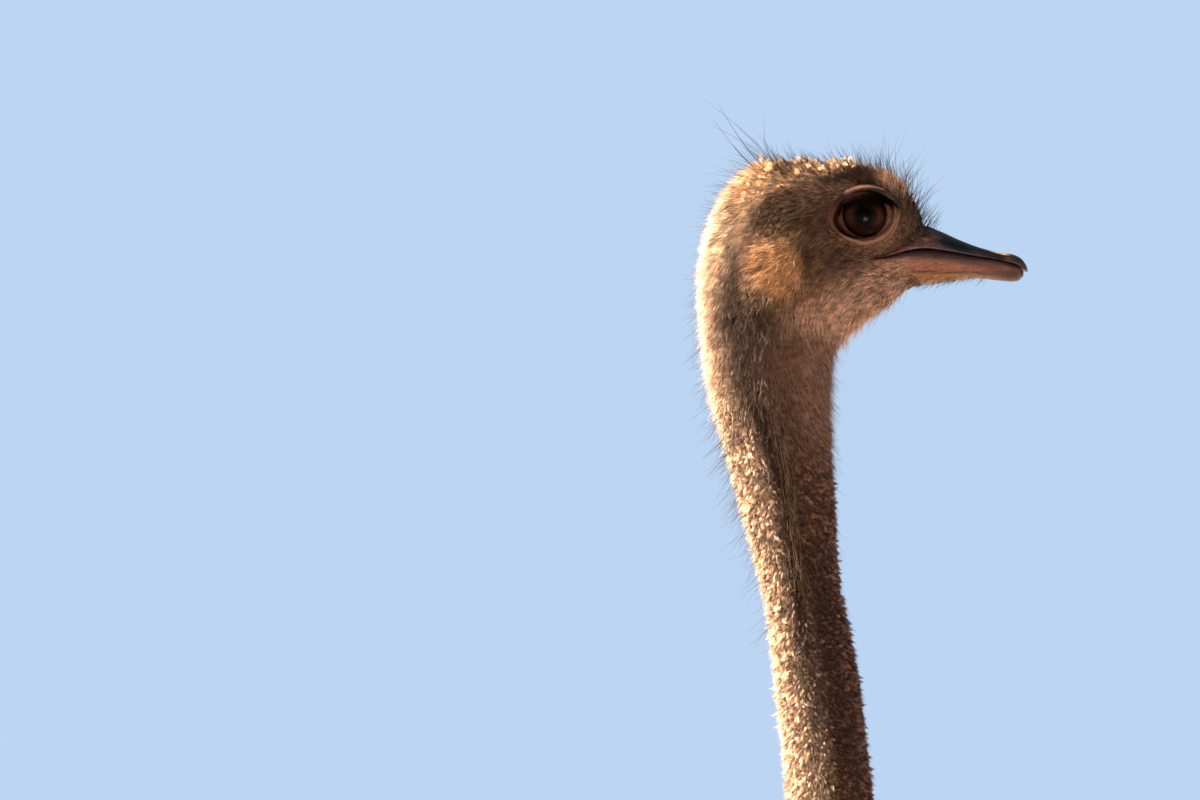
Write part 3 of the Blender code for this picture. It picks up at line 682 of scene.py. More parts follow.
def store(mesh, **fields):
    """Stores a number or a vector on each of the mesh's points, under the field's name."""
    for name, values in fields.items():
        kind, key = ("FLOAT", "value") if values.ndim == 1 else ("FLOAT_VECTOR", "vector")
        mesh.attributes.new(name, kind, "POINT").data.foreach_set(key, values.ravel())


def mark_skin(mesh):
    """Stores the colour with its painted light and shade, the painted shade of the lids' creases, the scales
    and the wet edge on the skin's points.
    """
    points = places(mesh)
    x, z, side = from_eye(points)
    rib, _, off = place(points)
    crease, across = lid_folds(x, z)[1:]
    angle, r = round_lids(x, z)
    ahead, above = x - LID_AT[0], z - LID_AT[1]
    on_head = points[:, 2] > HEAD_Z
    lid = ramp(1.02, 0.9, across) * (side > 12) * on_head
    bare = ramp(0.62, 0.3, across) * lid
    inside = r - opening(angle)
    hood_shade = ramp(0.4, -0.5, inside - upper_lid(angle)) * ramp(0.1, 0.4, upper_lid(angle))
    wet = lid * ramp(0.5, 0.0, inside)
    slit = ridge(z, bill_section(x)[1], 1.1) * ramp(2, 6, x) * ramp(60, 50, x)
    # Skin under the coat is darkened as painted shade, the more so under the body's feathers.
    coated = 1 - np.maximum(bare, ramp(1.2, 0.8, points[:, 2]) * (off > BARE_DISTANCE))
    shaded = 1 - 0.45 * coated - 0.42 * coated * ramp(24.5, 25.5, rib)
    colour = painted(
        len(points), markings_and_painted_light(points) * shaded[:, None],
        (0.8 * bare, "#957268"), (0.8 * bare * ramp(-9, -19, ahead), "#4d3529"),
        # The bare skin over the eye is darkened to a grey-brown as painted shade.
        (0.95 * bare * ramp(-2, 12, above), "#393030"), (bare * bump(x, z, (14, 9), (6, 4)), "#8c6c54"),
        # The strip of upper lid under the fold is painted near black, partly the dark of its lashes and
        # partly painted shade.
        (0.9 * bare * ramp(0.11, 0.02, across), "#2b1a12"), (hood_shade * lid, "#1d1310"),
        # Painted shade along the mouth line, on the skin that lies sunk under the gap between the bill's
        # halves.
        (slit * (side > 10) * on_head, "#0e0807"), (wet, "#21150f"),
        (0.8 * wet * ramp(7, -4, above), "#70524a"))
    store(mesh, marking=colour, crease=crease * lid * (across > 0.05), scaly=ramp(0.56, 0.5, points[:, 2]),
          wet=wet * ramp(3, -3, above))


mark_skin(skin.data)


class Nodes:
    """A node tree that grows. Inputs are values, hex shades or the sockets of other nodes."""

    def __init__(self, tree):
        self.tree = tree

    def add(self, kind, inputs=None, **settings):
        node = self.tree.nodes.new(kind)
        for name, value in settings.items():
            setattr(node, name, value)
        for key, value in (inputs or {}).items():
            if isinstance(value, bpy.types.NodeSocket):
                self.tree.links.new(value, node.inputs[key])
            elif isinstance(value, str) and value[:1] == "#":
                node.inputs[key].default_value = (*linear(value), 1.0)
            else:
                node.inputs[key].default_value = value
        return node

    def given(self, name, output="Fac"):
        return self.add("ShaderNodeAttribute", attribute_name=name).outputs[output]

    def position(self):
        return self.add("ShaderNodeTexCoord").outputs["Object"]

    def noise(self, at, scale, detail, **more):
        inputs = {"Vector": at, "Scale": scale, "Detail": detail, **more}
        return self.add("ShaderNodeTexNoise", inputs).outputs["Fac"]

    def cell_edges(self, at, scale):
        return self.add("ShaderNodeTexVoronoi", {"Vector": at, "Scale": scale},
                        feature="DISTANCE_TO_EDGE").outputs["Distance"]

    def ranged(self, value, low, high, first, last, **settings):
        """The value, moved from the range low to high into the range first to last."""
        return self.add("ShaderNodeMapRange", {"Value": value, 1: low, 2: high, 3: first, 4: last},
                        **settings).outputs[0]

    def maths(self, operation, *values):
        return self.add("ShaderNodeMath", dict(enumerate(values)), operation=operation).outputs[0]

    def vectors(self, operation, *values):
        return self.add("ShaderNodeVectorMath", dict(enumerate(values)), operation=operation).outputs[0]

    def scaled(self, vector, by):
        return self.add("ShaderNodeVectorMath", {0: vector, "Scale": by}, operation="SCALE").outputs[0]

    def between(self, share, a, b):
        return self.add("ShaderNodeMix", {0: share, 2: a, 3: b}).outputs[0]

    def blended(self, share, a, b):
        """One colour blended into another by a share."""
        return self.add("ShaderNodeMix", {0: share, 6: a, 7: b}, data_type="RGBA").outputs[2]


class Finish(Nodes):
    """A material with one principled shader. Underscores in its sockets' names stand for spaces."""

    def __init__(self, name, **constants):
        self.material = bpy.data.materials.new(name)
        self.material.use_nodes = True
        super().__init__(self.material.node_tree)
        self.shader = self.tree.nodes["Principled BSDF"]
        for key, value in constants.items():
            self.shader.inputs[key.replace("_", " ")].default_value = value

    def feed(self, socket, value):
        self.tree.links.new(value, self.shader.inputs[socket])

    def relief(self, height, distance, strength):
        """Fine relief, `distance` deep in metres where the height is 1."""
        bumped = self.add("ShaderNodeBump", {"Height": height, "Distance": distance, "Strength": strength})
        self.feed("Normal", bumped.outputs[0])


# Bare skin is dull, with pores and fine wrinkles about 1 mm apart, and painted shade in the lids' creases.
# The legs' scales are domes 5 mm wide, and only the lower lid's edge is wet enough to shine.
look = Finish("living_skin", Roughness=0.6, IOR=1.3, Specular_IOR_Level=0.0)
at = look.position()
scaly = look.given("scaly")
edges = look.cell_edges(at, 190.0)
fine = look.maths("ADD", look.noise(at, 1500.0, 3.0), look.cell_edges(at, 900.0))
blotch = look.ranged(look.noise(at, 240.0, 4.0), 0.3, 0.7, 0.72, 1.22)
# Painted shade darkens the lids' creases.
crease_shaded = look.blended(look.given("crease"), look.scaled(look.given("marking", "Vector"), blotch), "#33211b")
seams = look.maths("MULTIPLY", look.ranged(edges, 0.0, 0.1, 0.75, 0.0), scaly)
look.feed("Base Color", look.blended(seams, crease_shaded, "#4d443c"))
look.relief(look.between(scaly, fine, look.ranged(edges, 0.0, 0.25, 0.0, 6.0)), 0.25 * MM, 0.7)
look.feed("Roughness", look.between(look.given("wet"), 0.75, 0.15))
skin.data.materials.clear()
skin.data.materials.append(look.material)


def give(piece, slot, *stands_for):
    """The piece rides on the bird and stands for the nodes of the solid model, which are hidden; the slot is
    not used.
    """
    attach(piece, "root")
    if stands_for:
        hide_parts(*stands_for)


give(skin, "bare_skin", "head", "neck_upper", "neck_middle", "neck_lower", "trunk", "tail",
     *[f"{part}_{side}" for part in ("ear", "wing", "thigh", "shank", "foot", "toe_inner", "toe_outer")
       for side, sign in SIDES])


# Scutes
# Broad plates of horn overlap down the front of each shank and over each toe. Each is a closed domed plate
# sunk a little into the scaly skin, and stands highest at its lower edge.

PLATE_RISE, PLATE_SINK = 1.0, 0.7   # mm
PLATE_INSET = SCUTE_DEPTH + 0.0002
PLATES_Z = (0.455, 0.088, -0.0098)  # the shank's plates: top, bottom and pitch


def plates_mesh(name, plates):
    """Closed plates over grids of points, each a little dome away from its own middle line."""
    points, faces = [], []
    for base, middle in plates:
        count, wide = base.shape[:2]
        out = unit(np.cross(np.gradient(base, axis=0), np.gradient(base, axis=1)))
        out = out * np.sign(((base - middle) * out).sum(axis=-1, keepdims=True))
        u, v = np.meshgrid(np.linspace(-1, 1, count), np.linspace(-1, 1, wide), indexing="ij")
        high = PLATE_RISE * (0.45 + 0.35 * (u + 1)) * (1 - u ** 8) * (1 - v ** 6)
        start = len(points)
        points.extend((base + out * (high * MM)[..., None]).reshape(-1, 3).tolist())
        points.extend((base - out * PLATE_SINK * MM).reshape(-1, 3).tolist())
        top = ring_faces(count, wide, closed=False) + start
        under = top[:, ::-1] + count * wide
        rim = [i * wide for i in range(count)] + [(count - 1) * wide + j for j in range(1, wide)]
        rim += [i * wide + wide - 1 for i in range(count - 2, -1, -1)] + list(range(wide - 2, 0, -1))
        faces += top.tolist() + under.tolist()
        for a, b in zip(rim, rim[1:] + rim[:1]):
            faces.append((start + a, start + b, start + b + count * wide, start + a + count * wide))
    return outward(new_mesh(name, points, faces))


def scutes(side, sign):
    """Plates down the front of one shank and over the tops of its two toes."""
    line = leg_line(sign)
    fine = np.linspace(7.0, 12.6, 500)
    heights = through(line, fine)[:, 2]
    plates = []
    for number, z in enumerate(np.arange(*PLATES_Z)):
        half = 0.62 + 0.06 * math.sin(2.1 * number)
        at = np.interp(np.linspace(z + 0.0055, z - 0.0052, 6), heights[::-1], fine[::-1])
        front = limb(line, at, np.linspace(-half, half, 13), PLATE_INSET)
        plates.append((front, through(line, at)[:, None, :3]))
    big_joint, small_joint = toe_joints(side, sign)
    for joint, aim, stations, pitch, first, last, half in (
            (big_joint, 0, BIG_TOE, 0.009, 0.026, 0.17, 0.8),
            (small_joint, sign * SMALL_TOE_SPLAY, SMALL_TOE, 0.0076, 0.026, 0.108, 0.75)):
        fine_toe = np.linspace(0, len(stations) - 1, 400)
        ahead = through(stations, fine_toe)[:, 0]
        for x in np.arange(first, last, pitch):
            at = np.interp(np.linspace(x - 0.55 * pitch, x + 0.52 * pitch, 6), ahead, fine_toe)
            top = toe(joint, aim, stations, at, np.linspace(-half, half, 11), PLATE_INSET)
            plates.append((top, top.mean(axis=1, keepdims=True) - np.array((0, 0, 0.02))))
    return plates_mesh(f"scutes_{side}", plates)


def finished(name, mesh, look):
    """An object of one finish."""
    made = new_object(name, mesh)
    made.data.materials.append(look.material)
    return made


# Horn plates are satin and dry, with fine growth lines across them.
look = Finish("scute_horn", Roughness=0.48, IOR=1.54)
lines = look.noise(look.vectors("MULTIPLY", look.position(), (1.0, 0.35, 1.0)), 420.0, 5.0)
look.feed("Base Color", look.blended(lines, "#5d5046", "#a08f7d"))
look.relief(lines, 0.3 * MM, 0.6)
for side, sign in SIDES:
    give(finished(f"scutes_{side}", scutes(side, sign), look), "leg_scales")


# Eyes
# Large balls, set well out: a brown-grey white, a near-black brown iris that fills most of the lids' opening,
# and a bulging wet cornea.

CORNEA_R, CORNEA_BULGE = 14.2, 1.7  # mm
PUPIL_R = 6.2                       # mm
GAZE = (-2.9, -2.6)                 # the iris lies this far ahead of and above the eye's centre, mm
EYE_BAND = 20.0                     # the colours run from the middle to this far beside it, mm


def eye_mesh(name, sign):
    """A ball turned about the line through both eyes, with a cornea that bulges out of it."""
    radius = EYE_R / MM
    steep = np.concatenate([np.linspace(0, 1.1, 64), np.linspace(1.15, math.pi, 28)[:-1]])
    angle = np.linspace(0, 2 * math.pi, 97)[:-1]
    points, faces = [(EYE_X, sign * (EYE_OUT + (radius + CORNEA_BULGE) * MM), EYE_Z)], []
    for turn in steep[1:]:
        r = radius * math.sin(turn)
        y = radius * math.cos(turn) + CORNEA_BULGE * float(ramp(CORNEA_R, CORNEA_R * 0.35, r)) * (turn < 2)
        points += [(EYE_X + r * math.cos(a) * MM, sign * (EYE_OUT + y * MM), EYE_Z + r * math.sin(a) * MM)
                   for a in angle]
    points.append((EYE_X, sign * (EYE_OUT - EYE_R), EYE_Z))
    count = len(angle)
    for i in range(count):
        j = (i + 1) % count
        faces.append((0, 1 + i, 1 + j))
        faces.append((len(points) - 1, len(points) - 1 - count + j, len(points) - 1 - count + i))
    faces += (ring_faces(len(steep) - 1, count) + 1)[:, ::-1].tolist()
    middle = Vector((EYE_X, sign * EYE_OUT, EYE_Z))
    straight = Vector((0, sign * radius, 0))
    turned = straight.rotation_difference(Vector((GAZE[0], sign * radius * 0.8, GAZE[1])))
    mesh = outward(new_mesh(name, [middle + turned @ (Vector(p) - middle) for p in points], faces))
    xyz = (np.array(points) - (EYE_X, 0, EYE_Z)) / MM
    beside = np.hypot(xyz[:, 0], xyz[:, 2])
    beside[np.abs(xyz[:, 1]) < EYE_OUT / MM] = radius
    way = xyz / np.maximum(beside, 0.1)[:, None]
    store(mesh, beside=beside, spoke=np.stack([way[:, 0], way[:, 2], beside], axis=1))
    return mesh


# A wet eye is very smooth. The iris has fine spokes, and a dark ring parts it from the brownish white. Light
# that comes through the cornea glows along the iris's level middle, and the upper lid shades its top.
look = Finish("wet_eye", Roughness=0.12, IOR=1.376, Specular_IOR_Level=0.08)
beside, spoke = look.given("beside"), look.given("spoke", "Vector")
bands = look.add("ShaderNodeValToRGB", {0: look.maths("DIVIDE", beside, EYE_BAND)})
for number, (radius, shade) in enumerate((
        (PUPIL_R - 1.4, "#030202"), (PUPIL_R + 1.0, "#120a07"), (9.8, "#2c1914"), (11.6, "#20120e"),
        (12.9, "#060303"), (13.8, "#060302"), (14.3, "#4a3329"), (15.4, "#715548"), (18.5, "#8d6e60"))):
    elements = bands.color_ramp.elements
    band = elements[number] if number < 2 else elements.new(radius / EYE_BAND)
    band.position = radius / EYE_BAND
    band.color = (*linear(shade), 1.0)
streaks = look.noise(look.vectors("MULTIPLY", spoke, (9.0, 9.0, 0.25)), 1.6, 5.0)
over = look.maths("MULTIPLY", look.add("ShaderNodeSeparateXYZ", {0: spoke}).outputs["Y"], beside)
glow = look.ranged(look.maths("ABSOLUTE", over), 2.0, 8.0, 1.9, 0.55)
lit = look.between(look.ranged(beside, 13.2, 14.0, 0.0, 1.0), glow, 1.0)
strength = look.maths("MULTIPLY", look.ranged(streaks, 0.3, 0.7, 0.55, 1.6), lit)
look.feed("Base Color", look.blended(look.ranged(over, 7.0, 10.5, 0.0, 0.9),
                                     look.scaled(bands.outputs["Color"], strength), "#0c0705"))
for side, sign in SIDES:
    give(finished(f"eyeball_{side}", eye_mesh(f"eyeball_{side}", sign), look), "eye", f"eye_{side}")


# Bill
# A broad flat bill of horn over bone: a near-black ridge with a nail that hooks over the tip, dark purple
# cutting edges, and a pinkish lower half that ends in a nail of its own. Two slit nostrils lie at mid length.

BILL_SLIT = 0.5                     # the gap between the halves, mm
NOSTRIL = (56.0, -20.4)             # ahead of and above the eye, mm
NOSTRIL_SIZE = (6.8, 1.5)
NOSTRIL_SLOPE = 0.28
BILL_RINGS, BILL_SPREAD = 150, 40   # rings along, points over the back of each


def mouth_rise(x):
    """The mouth's line curves up toward the tip, over the straight line of the sections, in mm."""
    return 2.2 * ramp(62, 100, x)


def nostril_way(x, z):
    """How far a place of the bill's side lies from a nostril's middle. It is 1 on the nostril's rim."""
    ahead = x - NOSTRIL[0]
    above = z - NOSTRIL[1] + NOSTRIL_SLOPE * ahead
    return np.sqrt((ahead / NOSTRIL_SIZE[0]) ** 2 + (above / NOSTRIL_SIZE[1]) ** 2)


def jaw_groove(x, z, width):
    """The groove along the lower half's side: how far over it a place lies in mm, and its depth, 0 to 1."""
    over = z - np.interp(x, (28, 45, 70, 84), (-36.5, -37.2, -36.8, -38.5))
    return over, ridge(over, 0, width) * ramp(24, 32, x) * ramp(88, 80, x)


def bill_back(upper):
    """Points over the arched back of one half of the bill, ring after ring, in metres."""
    at = np.linspace(0, len(BILL) - 1, BILL_RINGS)
    x, top, mouth, bottom, width = through(BILL, at).T[..., None]
    mouth = mouth + mouth_rise(x)
    hooked, nail = ramp(97, 103.5, x), ramp(88, 93, x)
    angle = np.linspace(0, math.pi, BILL_SPREAD + 1)[None]
    if upper:
        crown = np.sin(angle) ** 1.15
        lip = mouth + BILL_SLIT / 2 - 0.8 * hooked
        y = width * np.cos(angle)
        z = lip + (top - lip) * crown
        z = z - 0.55 * ridge(crown, 0.42, 0.14) * ramp(36, 46, x) * (1 - nail)
        z = z + 0.25 * nail * np.sin(angle) ** 0.5 * ramp(104, 100, x)
        y = y * (1 - 0.035 * ramp(1.35, 0.6, nostril_way(x, z)))
    else:
        crown = np.sin(angle) ** 0.8
        lip = mouth - BILL_SLIT / 2
        y = (width - 0.6) * (1 - 0.2 * hooked) * np.cos(angle)
        x = x - 2.6 * hooked
        z = lip + (bottom - lip) * crown
        y = y * (1 - 0.03 * jaw_groove(x, z, 0.55)[1]) * (1 + 0.018 * nail)
    y = y * (1 - 0.035 * ridge(z, mouth, 0.9))
    seam = ridge(x + 0.35 * np.abs(y), 90.5, 0.5)
    z = z - (1 if upper else -1) * 0.35 * seam * np.sin(angle)
    return np.stack([EYE_X + (x + 0 * y) * MM, y * MM, EYE_Z + z * MM], axis=-1)


def bill_colour(points, upper):
    """The linear colour of the horn at points of one half of the bill."""
    x, z, y = from_eye(points)
    over = z - bill_section(x)[1] - mouth_rise(x)
    nail = ramp(88, 94, x + 0.2 * y)
    if upper:
        pale_horn_and_highlight = np.exp(-((x - 85) / 6) ** 4 - ((y - 6.3) / 2.2) ** 4)
        return painted(
            len(points), "#17100e",
            (ramp(52, 44, x + 0.35 * (over - 6)), "#6a5142"),
            (ramp(4.6, 2.2, over) * ramp(88, 66, x), "#544048"),
            (ramp(5.0, 2.4, over) * ramp(46, 26, x), "#7c5350"),
            (ridge(over, 3.2, 0.5) * ramp(38, 46, x) * ramp(74, 66, x), "#6d6468"),
            # A pale spot near the nail: partly worn pale horn, partly a painted highlight on the ridge.
            (1.2 * pale_horn_and_highlight * (over > 3), "#ddc499"),
            (ramp(1.1, 0.5, over), "#0d0807"),
            (nail * ramp(4.2, 2.0, over), "#5d4338"),
            (ramp(2.4, 1.0, nostril_way(x, z)), "#0b0706"))
    over_groove, groove = jaw_groove(x, z, 0.6)
    return painted(
        len(points), "#8a543d",
        (ramp(-0.2, 1.6, -over_groove), "#8a5820"),
        (groove, "#3b2218"),
        (0.92 * ramp(-7.6, -4.4, over) * ramp(6, 24, x), "#2e1c22"),
        (0.95 * ramp(66, 88, x + 0.5 * (over + 6)), "#54270f"),
        (0.5 * nail, "#3d1d10"),
        (0.8 * nail * ridge(over + 7.9, 0.16 * (x - 96), 0.45), "#24120b"),
        (ramp(-3.6, -1.6, over) * nail, "#24140e"),
        (nail * ridge(over + 5.4, 0.1 * (x - 96), 0.5), "#24120b"),
        (ramp(-9.4, -10.4, over) * nail, "#24140d"),
        (ramp(-1.3, -0.6, over), "#160c0a"),
        (0.6 * ridge(x + 0.35 * y, 90.5, 0.7), "#2e1b15"),
        (ramp(36, 14, x) * ramp(-2.0, -5.0, over), "#a57c66"))


def bill_mesh(name, upper):
    """One half of the bill, with its back and a flat mouth side."""
    back = bill_back(upper)
    inner = np.linspace(0, 1, BILL_SPREAD // 2 + 1)[1:-1, None]
    shut = back[:, -1:] + (back[:, :1] - back[:, -1:]) * inner
    mesh = outward(tube_mesh(name, np.concatenate([back, shut], axis=1)))
    store(mesh, marking=bill_colour(places(mesh), upper))
    return mesh


# Bill horn is polished by use, glossy to satin from speck to speck, with growth streaks about 1 mm apart that
# run along it.
look = Finish("bill_horn", Roughness=0.3, IOR=1.54, Coat_Weight=0.12, Coat_Roughness=0.15)
at = look.position()
streaks = look.noise(look.vectors("MULTIPLY", at, (0.16, 1.0, 1.0)), 900.0, 4.0, Distortion=0.6)
light = look.ranged(streaks, 0.3, 0.7, 0.45, 1.45)
look.feed("Base Color", look.scaled(look.given("marking", "Vector"), light))
look.feed("Roughness", look.ranged(look.noise(at, 700.0, 3.0), 0.3, 0.7, 0.22, 0.5))
look.relief(streaks, 0.25 * MM, 0.6)
for name, upper in (("bill_upper", True), ("bill_lower", False)):
    give(finished(name + "_horn", bill_mesh(name + "_horn", upper), look), "bill_horn", name)


# Claws
# The big inner toe ends in a thick blunt claw of dark horn, worn pale at its tip. The outer toe has none.

look = Finish("claw_horn", Roughness=0.38, IOR=1.54)
streaks = look.noise(look.vectors("MULTIPLY", look.position(), (0.12, 1.0, 1.0)), 700.0, 4.0)
horn = look.blended(streaks, "#2c2420", "#6b5c50")
look.feed("Base Color", look.blended(look.given("worn"), horn, "#9c8c78"))
look.relief(streaks, 0.4 * MM, 0.6)
for side, sign in SIDES:
    at = 3 - np.linspace(math.sqrt(3), 0, 40) ** 2
    rings = toe(toe_joints(side, sign)[0], 0, BIG_CLAW, at, full_turn(40), 0.0003)
    claw = finished(f"claw_{side}", outward(tube_mesh(f"claw_{side}", rings)), look)
    store(claw.data, worn=ramp(0.196, 0.226, places(claw.data)[:, 0] - joint_x[side]))
    give(claw, "claw_horn", f"claw_inner_{side}")


# Down of the head
# Short hair-like feathers: fine flat down over the face with paler single hairs over it, and deep woolly down
# over the crown and nape. They are tufts on the skin's own grid, laid by one node tree.

PATCH = 0.003                       # side of one tuft's patch in the OFBake map


def tuft_mesh(name, rings, taper=0.85, flat=0.5, sides=3):
    """A closed spike one unit long and wide, with rings between its root and its tip."""
    heights = np.linspace(0, 1, rings + 2)[:-1]
    angle = np.linspace(0, 2 * math.pi, sides + 1)[:-1] + math.pi / 2
    points = [(0.5 * w * math.cos(a), 0.5 * flat * w * math.sin(a), h)
              for h, w in zip(heights, 1 - heights ** 1.6 * taper) for a in angle]
    faces = [tuple(reversed(range(sides)))] + ring_faces(len(heights), sides).tolist()
    tip = len(points)
    faces += [(tip - sides + i, tip - sides + (i + 1) % sides, tip) for i in range(sides)]
    return new_mesh(name, points + [(0, 0, 1)], faces)


def curl_mesh(name, blades, thick, reach, twist, seed):
    """A woolly lock one unit long: closed blades that rise round a middle, bulge, and twist in or out."""
    chance = np.random.default_rng(seed)
    points, faces = [], []
    corner = np.linspace(0, 2 * math.pi, 4)[:-1]
    for number in range(blades):
        start = len(points)
        angle = 2 * math.pi * (number + chance.uniform(-0.3, 0.3)) / blades
        high, far = chance.uniform(0.75, 1.0), reach * chance.uniform(0.35, 1.0)
        for r, turn, height, size in ((0.12, angle, 0.0, 0.6),
                                      (reach * 0.75, angle + 0.4 * twist, 0.55 * high, 1.0)):
            points += [(r * math.cos(turn) + 0.5 * thick * size * math.cos(c + turn),
                        r * math.sin(turn) + 0.5 * thick * size * math.sin(c + turn), height) for c in corner]
        points.append((far * math.cos(angle + twist), far * math.sin(angle + twist), high))
        faces.append((start + 2, start + 1, start))
        faces += (ring_faces(2, 3) + start).tolist()
        faces += [(start + 3 + i, start + 3 + (i + 1) % 3, start + 6) for i in range(3)]
    return new_mesh(name, points, faces)


def template(mesh):
    """A tuft whose points know how far out along it they are, and their place in its patch of the map."""
    co = places(mesh)
    far = co[:, 2].clip(0, 1)
    store(mesh, along=far, grain=np.stack([(0.5 + co[:, 0]).clip(0, 1), far, 0 * far], axis=1))
    return new_object(mesh.name, mesh)


# What the tree is told about a piece, and what it is told unless the piece says otherwise.
USUAL = {"per_m2": 0.0, "apart": 0.0, "width": 0.0, "uneven": 0.25, "lumps": 0.0, "rise": 0.5, "ruffle": 0.0,
         "lock_size": 4.0, "stray": 0.15, "curl": 0.0, "droop": 0.0}
IN_MM = ("apart", "width", "lock_size")
VECTOR = "FLOAT_VECTOR"


def coat_tree():
    """The node tree that grows tufts on a bed, realized, each with its patch of the OFBake map."""
    tree = bpy.data.node_groups.new("grow_tufts", "GeometryNodeTree")
    kinds = {"bed": "Geometry", "tuft": "Object", "part": "Int", **dict.fromkeys(USUAL, "Float")}
    for name, kind in kinds.items():
        tree.interface.new_socket(name, in_out="INPUT", socket_type="NodeSocket" + kind)
    tree.interface.new_socket("coat", in_out="OUTPUT", socket_type="NodeSocketGeometry")
    nodes = Nodes(tree)
    add, maths, vectors, scaled = nodes.add, nodes.maths, nodes.vectors, nodes.scaled
    given = add("NodeGroupInput").outputs

    def read(name, kind="FLOAT"):
        return add("GeometryNodeInputNamedAttribute", {"Name": name}, data_type=kind).outputs[0]

    def number(low, shift):
        """A random number of each tuft, from `low` to 1."""
        inputs = {2: low, 3: 1.0, "Seed": maths("ADD", given["part"], shift)}
        return add("FunctionNodeRandomValue", inputs, data_type="FLOAT").outputs[1]

    def way_of(shift):
        """A random way of each tuft."""
        inputs = {0: (-1, -1, -1), 1: (1, 1, 1), "Seed": maths("ADD", given["part"], shift)}
        return add("FunctionNodeRandomValue", inputs, data_type=VECTOR).outputs[0]

    scatter = {"Mesh": given["bed"], "Density Max": given["per_m2"], "Distance Min": given["apart"],
               "Density Factor": read("cover"), "Seed": given["part"]}
    roots = add("GeometryNodeDistributePointsOnFaces", scatter, distribute_method="POISSON").outputs["Points"]
    locks = add("ShaderNodeTexNoise", {"Vector": add("GeometryNodeInputPosition").outputs[0], "Detail": 1.5,
                                       "Scale": maths("DIVIDE", 1.0, given["lock_size"])}).outputs
    lumps = maths("MULTIPLY", maths("SUBTRACT", locks["Fac"], 0.5), given["lumps"])
    varied = maths("ADD", maths("MULTIPLY", number(-1.0, 130.0), given["uneven"]), lumps)
    length = maths("MINIMUM", maths("MAXIMUM", maths("ADD", 1.0, varied), 0.2), 1.9)
    apart = vectors("SUBTRACT", locks["Color"], (0.5, 0.5, 0.5))
    way = read("lie", VECTOR)
    for push in (scaled(read("out", VECTOR), given["rise"]),
                 scaled(apart, maths("MULTIPLY", given["ruffle"], 4.0)),
                 scaled(way_of(0.0), given["stray"])):
        way = vectors("ADD", way, push)
    turned = add("FunctionNodeAxesToRotation", {0: way, 1: read("out", VECTOR)}, primary_axis="Z",
                 secondary_axis="Y").outputs[0]
    tone = number(0.0, 90.0)
    for name, kind, value in (("tone", "FLOAT", tone), ("lock", "FLOAT", locks["Fac"]),
                              ("twirl", VECTOR, way_of(50.0)),
                              ("length", "FLOAT", maths("MULTIPLY", read("reach"), length))):
        roots = add("GeometryNodeStoreNamedAttribute", {"Geometry": roots, "Name": name, "Value": value},
                    data_type=kind, domain="POINT").outputs[0]
    broad = maths("MULTIPLY", maths("MULTIPLY", given["width"], read("broad")),
                  maths("ADD", 0.8, maths("MULTIPLY", tone, 0.4)))
    size = add("ShaderNodeCombineXYZ", {0: broad, 1: broad, 2: read("length")}).outputs[0]
    tuft = add("GeometryNodeObjectInfo", {"Object": given["tuft"]}, transform_space="ORIGINAL").outputs
    grown = add("GeometryNodeInstanceOnPoints", {"Points": roots, "Instance": tuft["Geometry"],
                                                 "Rotation": turned, "Scale": size}).outputs[0]
    solid = add("GeometryNodeRealizeInstances", {"Geometry": grown}).outputs[0]
    bend = maths("MULTIPLY", maths("MULTIPLY", read("along"), read("along")), read("length"))
    sideways = scaled(read("twirl", VECTOR), maths("MULTIPLY", bend, given["curl"]))
    bent = vectors("ADD", sideways, scaled((0.0, 0.0, -1.0), maths("MULTIPLY", bend, given["droop"])))
    curled = add("GeometryNodeSetPosition", {"Geometry": solid, "Offset": bent}).outputs[0]
    spot = vectors("ADD", read("root_uv", VECTOR), scaled(read("grain", VECTOR), PATCH))
    mapped = add("GeometryNodeStoreNamedAttribute", {"Geometry": curled, "Name": "OFBake", "Value": spot},
                 data_type="FLOAT2", domain="CORNER").outputs[0]
    add("NodeGroupOutput", {"coat": mapped})
    return tree


GROW = coat_tree()
SPENT = ("cover", "reach", "broad", "lie", "out", "twirl", "length", "grain", "root_uv", "id")


def ground(points, out, lie, cover, reach, broad=1.0, shade=None):
    """A bed for tufts over a grid of points, that tells each tuft where, how long and which way it lies."""
    shape = points.shape[:2]
    across, down = np.meshgrid(np.linspace(0.01, 0.985, shape[1]), np.linspace(0.01, 0.985, shape[0]))
    colour = linear(shade) if shade else markings_and_painted_light(points.reshape(-1, 3)).reshape(points.shape)
    corner = np.stack([across, down, 0 * down], axis=-1)
    numbers = {"cover": cover, "reach": reach, "broad": broad}
    vectors = {"out": out, "lie": lie, "root_uv": corner, "marking": colour}
    numbers = {key: np.broadcast_to(value, shape).ravel() for key, value in numbers.items()}
    vectors = {key: np.broadcast_to(value, points.shape).reshape(-1, 3) for key, value in vectors.items()}
    faces = ring_faces(*shape, closed=False)
    faces = faces[numbers["cover"][faces].max(axis=1) > 0.001]
    mesh = new_mesh("bed", points.reshape(-1, 3), faces[:, ::-1].tolist())
    store(mesh, **numbers, **vectors)
    return mesh


# Places of the skin's grid, which the beds below are laid by: mm from the eye, side, rib number and turn.
X, Z, SIDE = from_eye(skin_grid)
SIGN = np.sign(skin_grid[..., 1])
TURN = np.broadcast_to(np.abs(turns), X.shape)
AT = np.broadcast_to(rows[:, None], X.shape)


def bed(low, high, cover, reach, lie=skin_along, broad=1.0):
    """Part of the skin's own grid, between two rib numbers. Values are plain, or arrays over the grid."""
    rib = np.flatnonzero((rows >= low) & (rows <= high))
    rib = np.arange(rib[0], min(rib[-1] + 2, len(rows)))
    values = [value[rib] if np.ndim(value) else value for value in (lie, cover, reach, broad)]
    return ground(skin_grid[rib], skin_out[rib], *values)


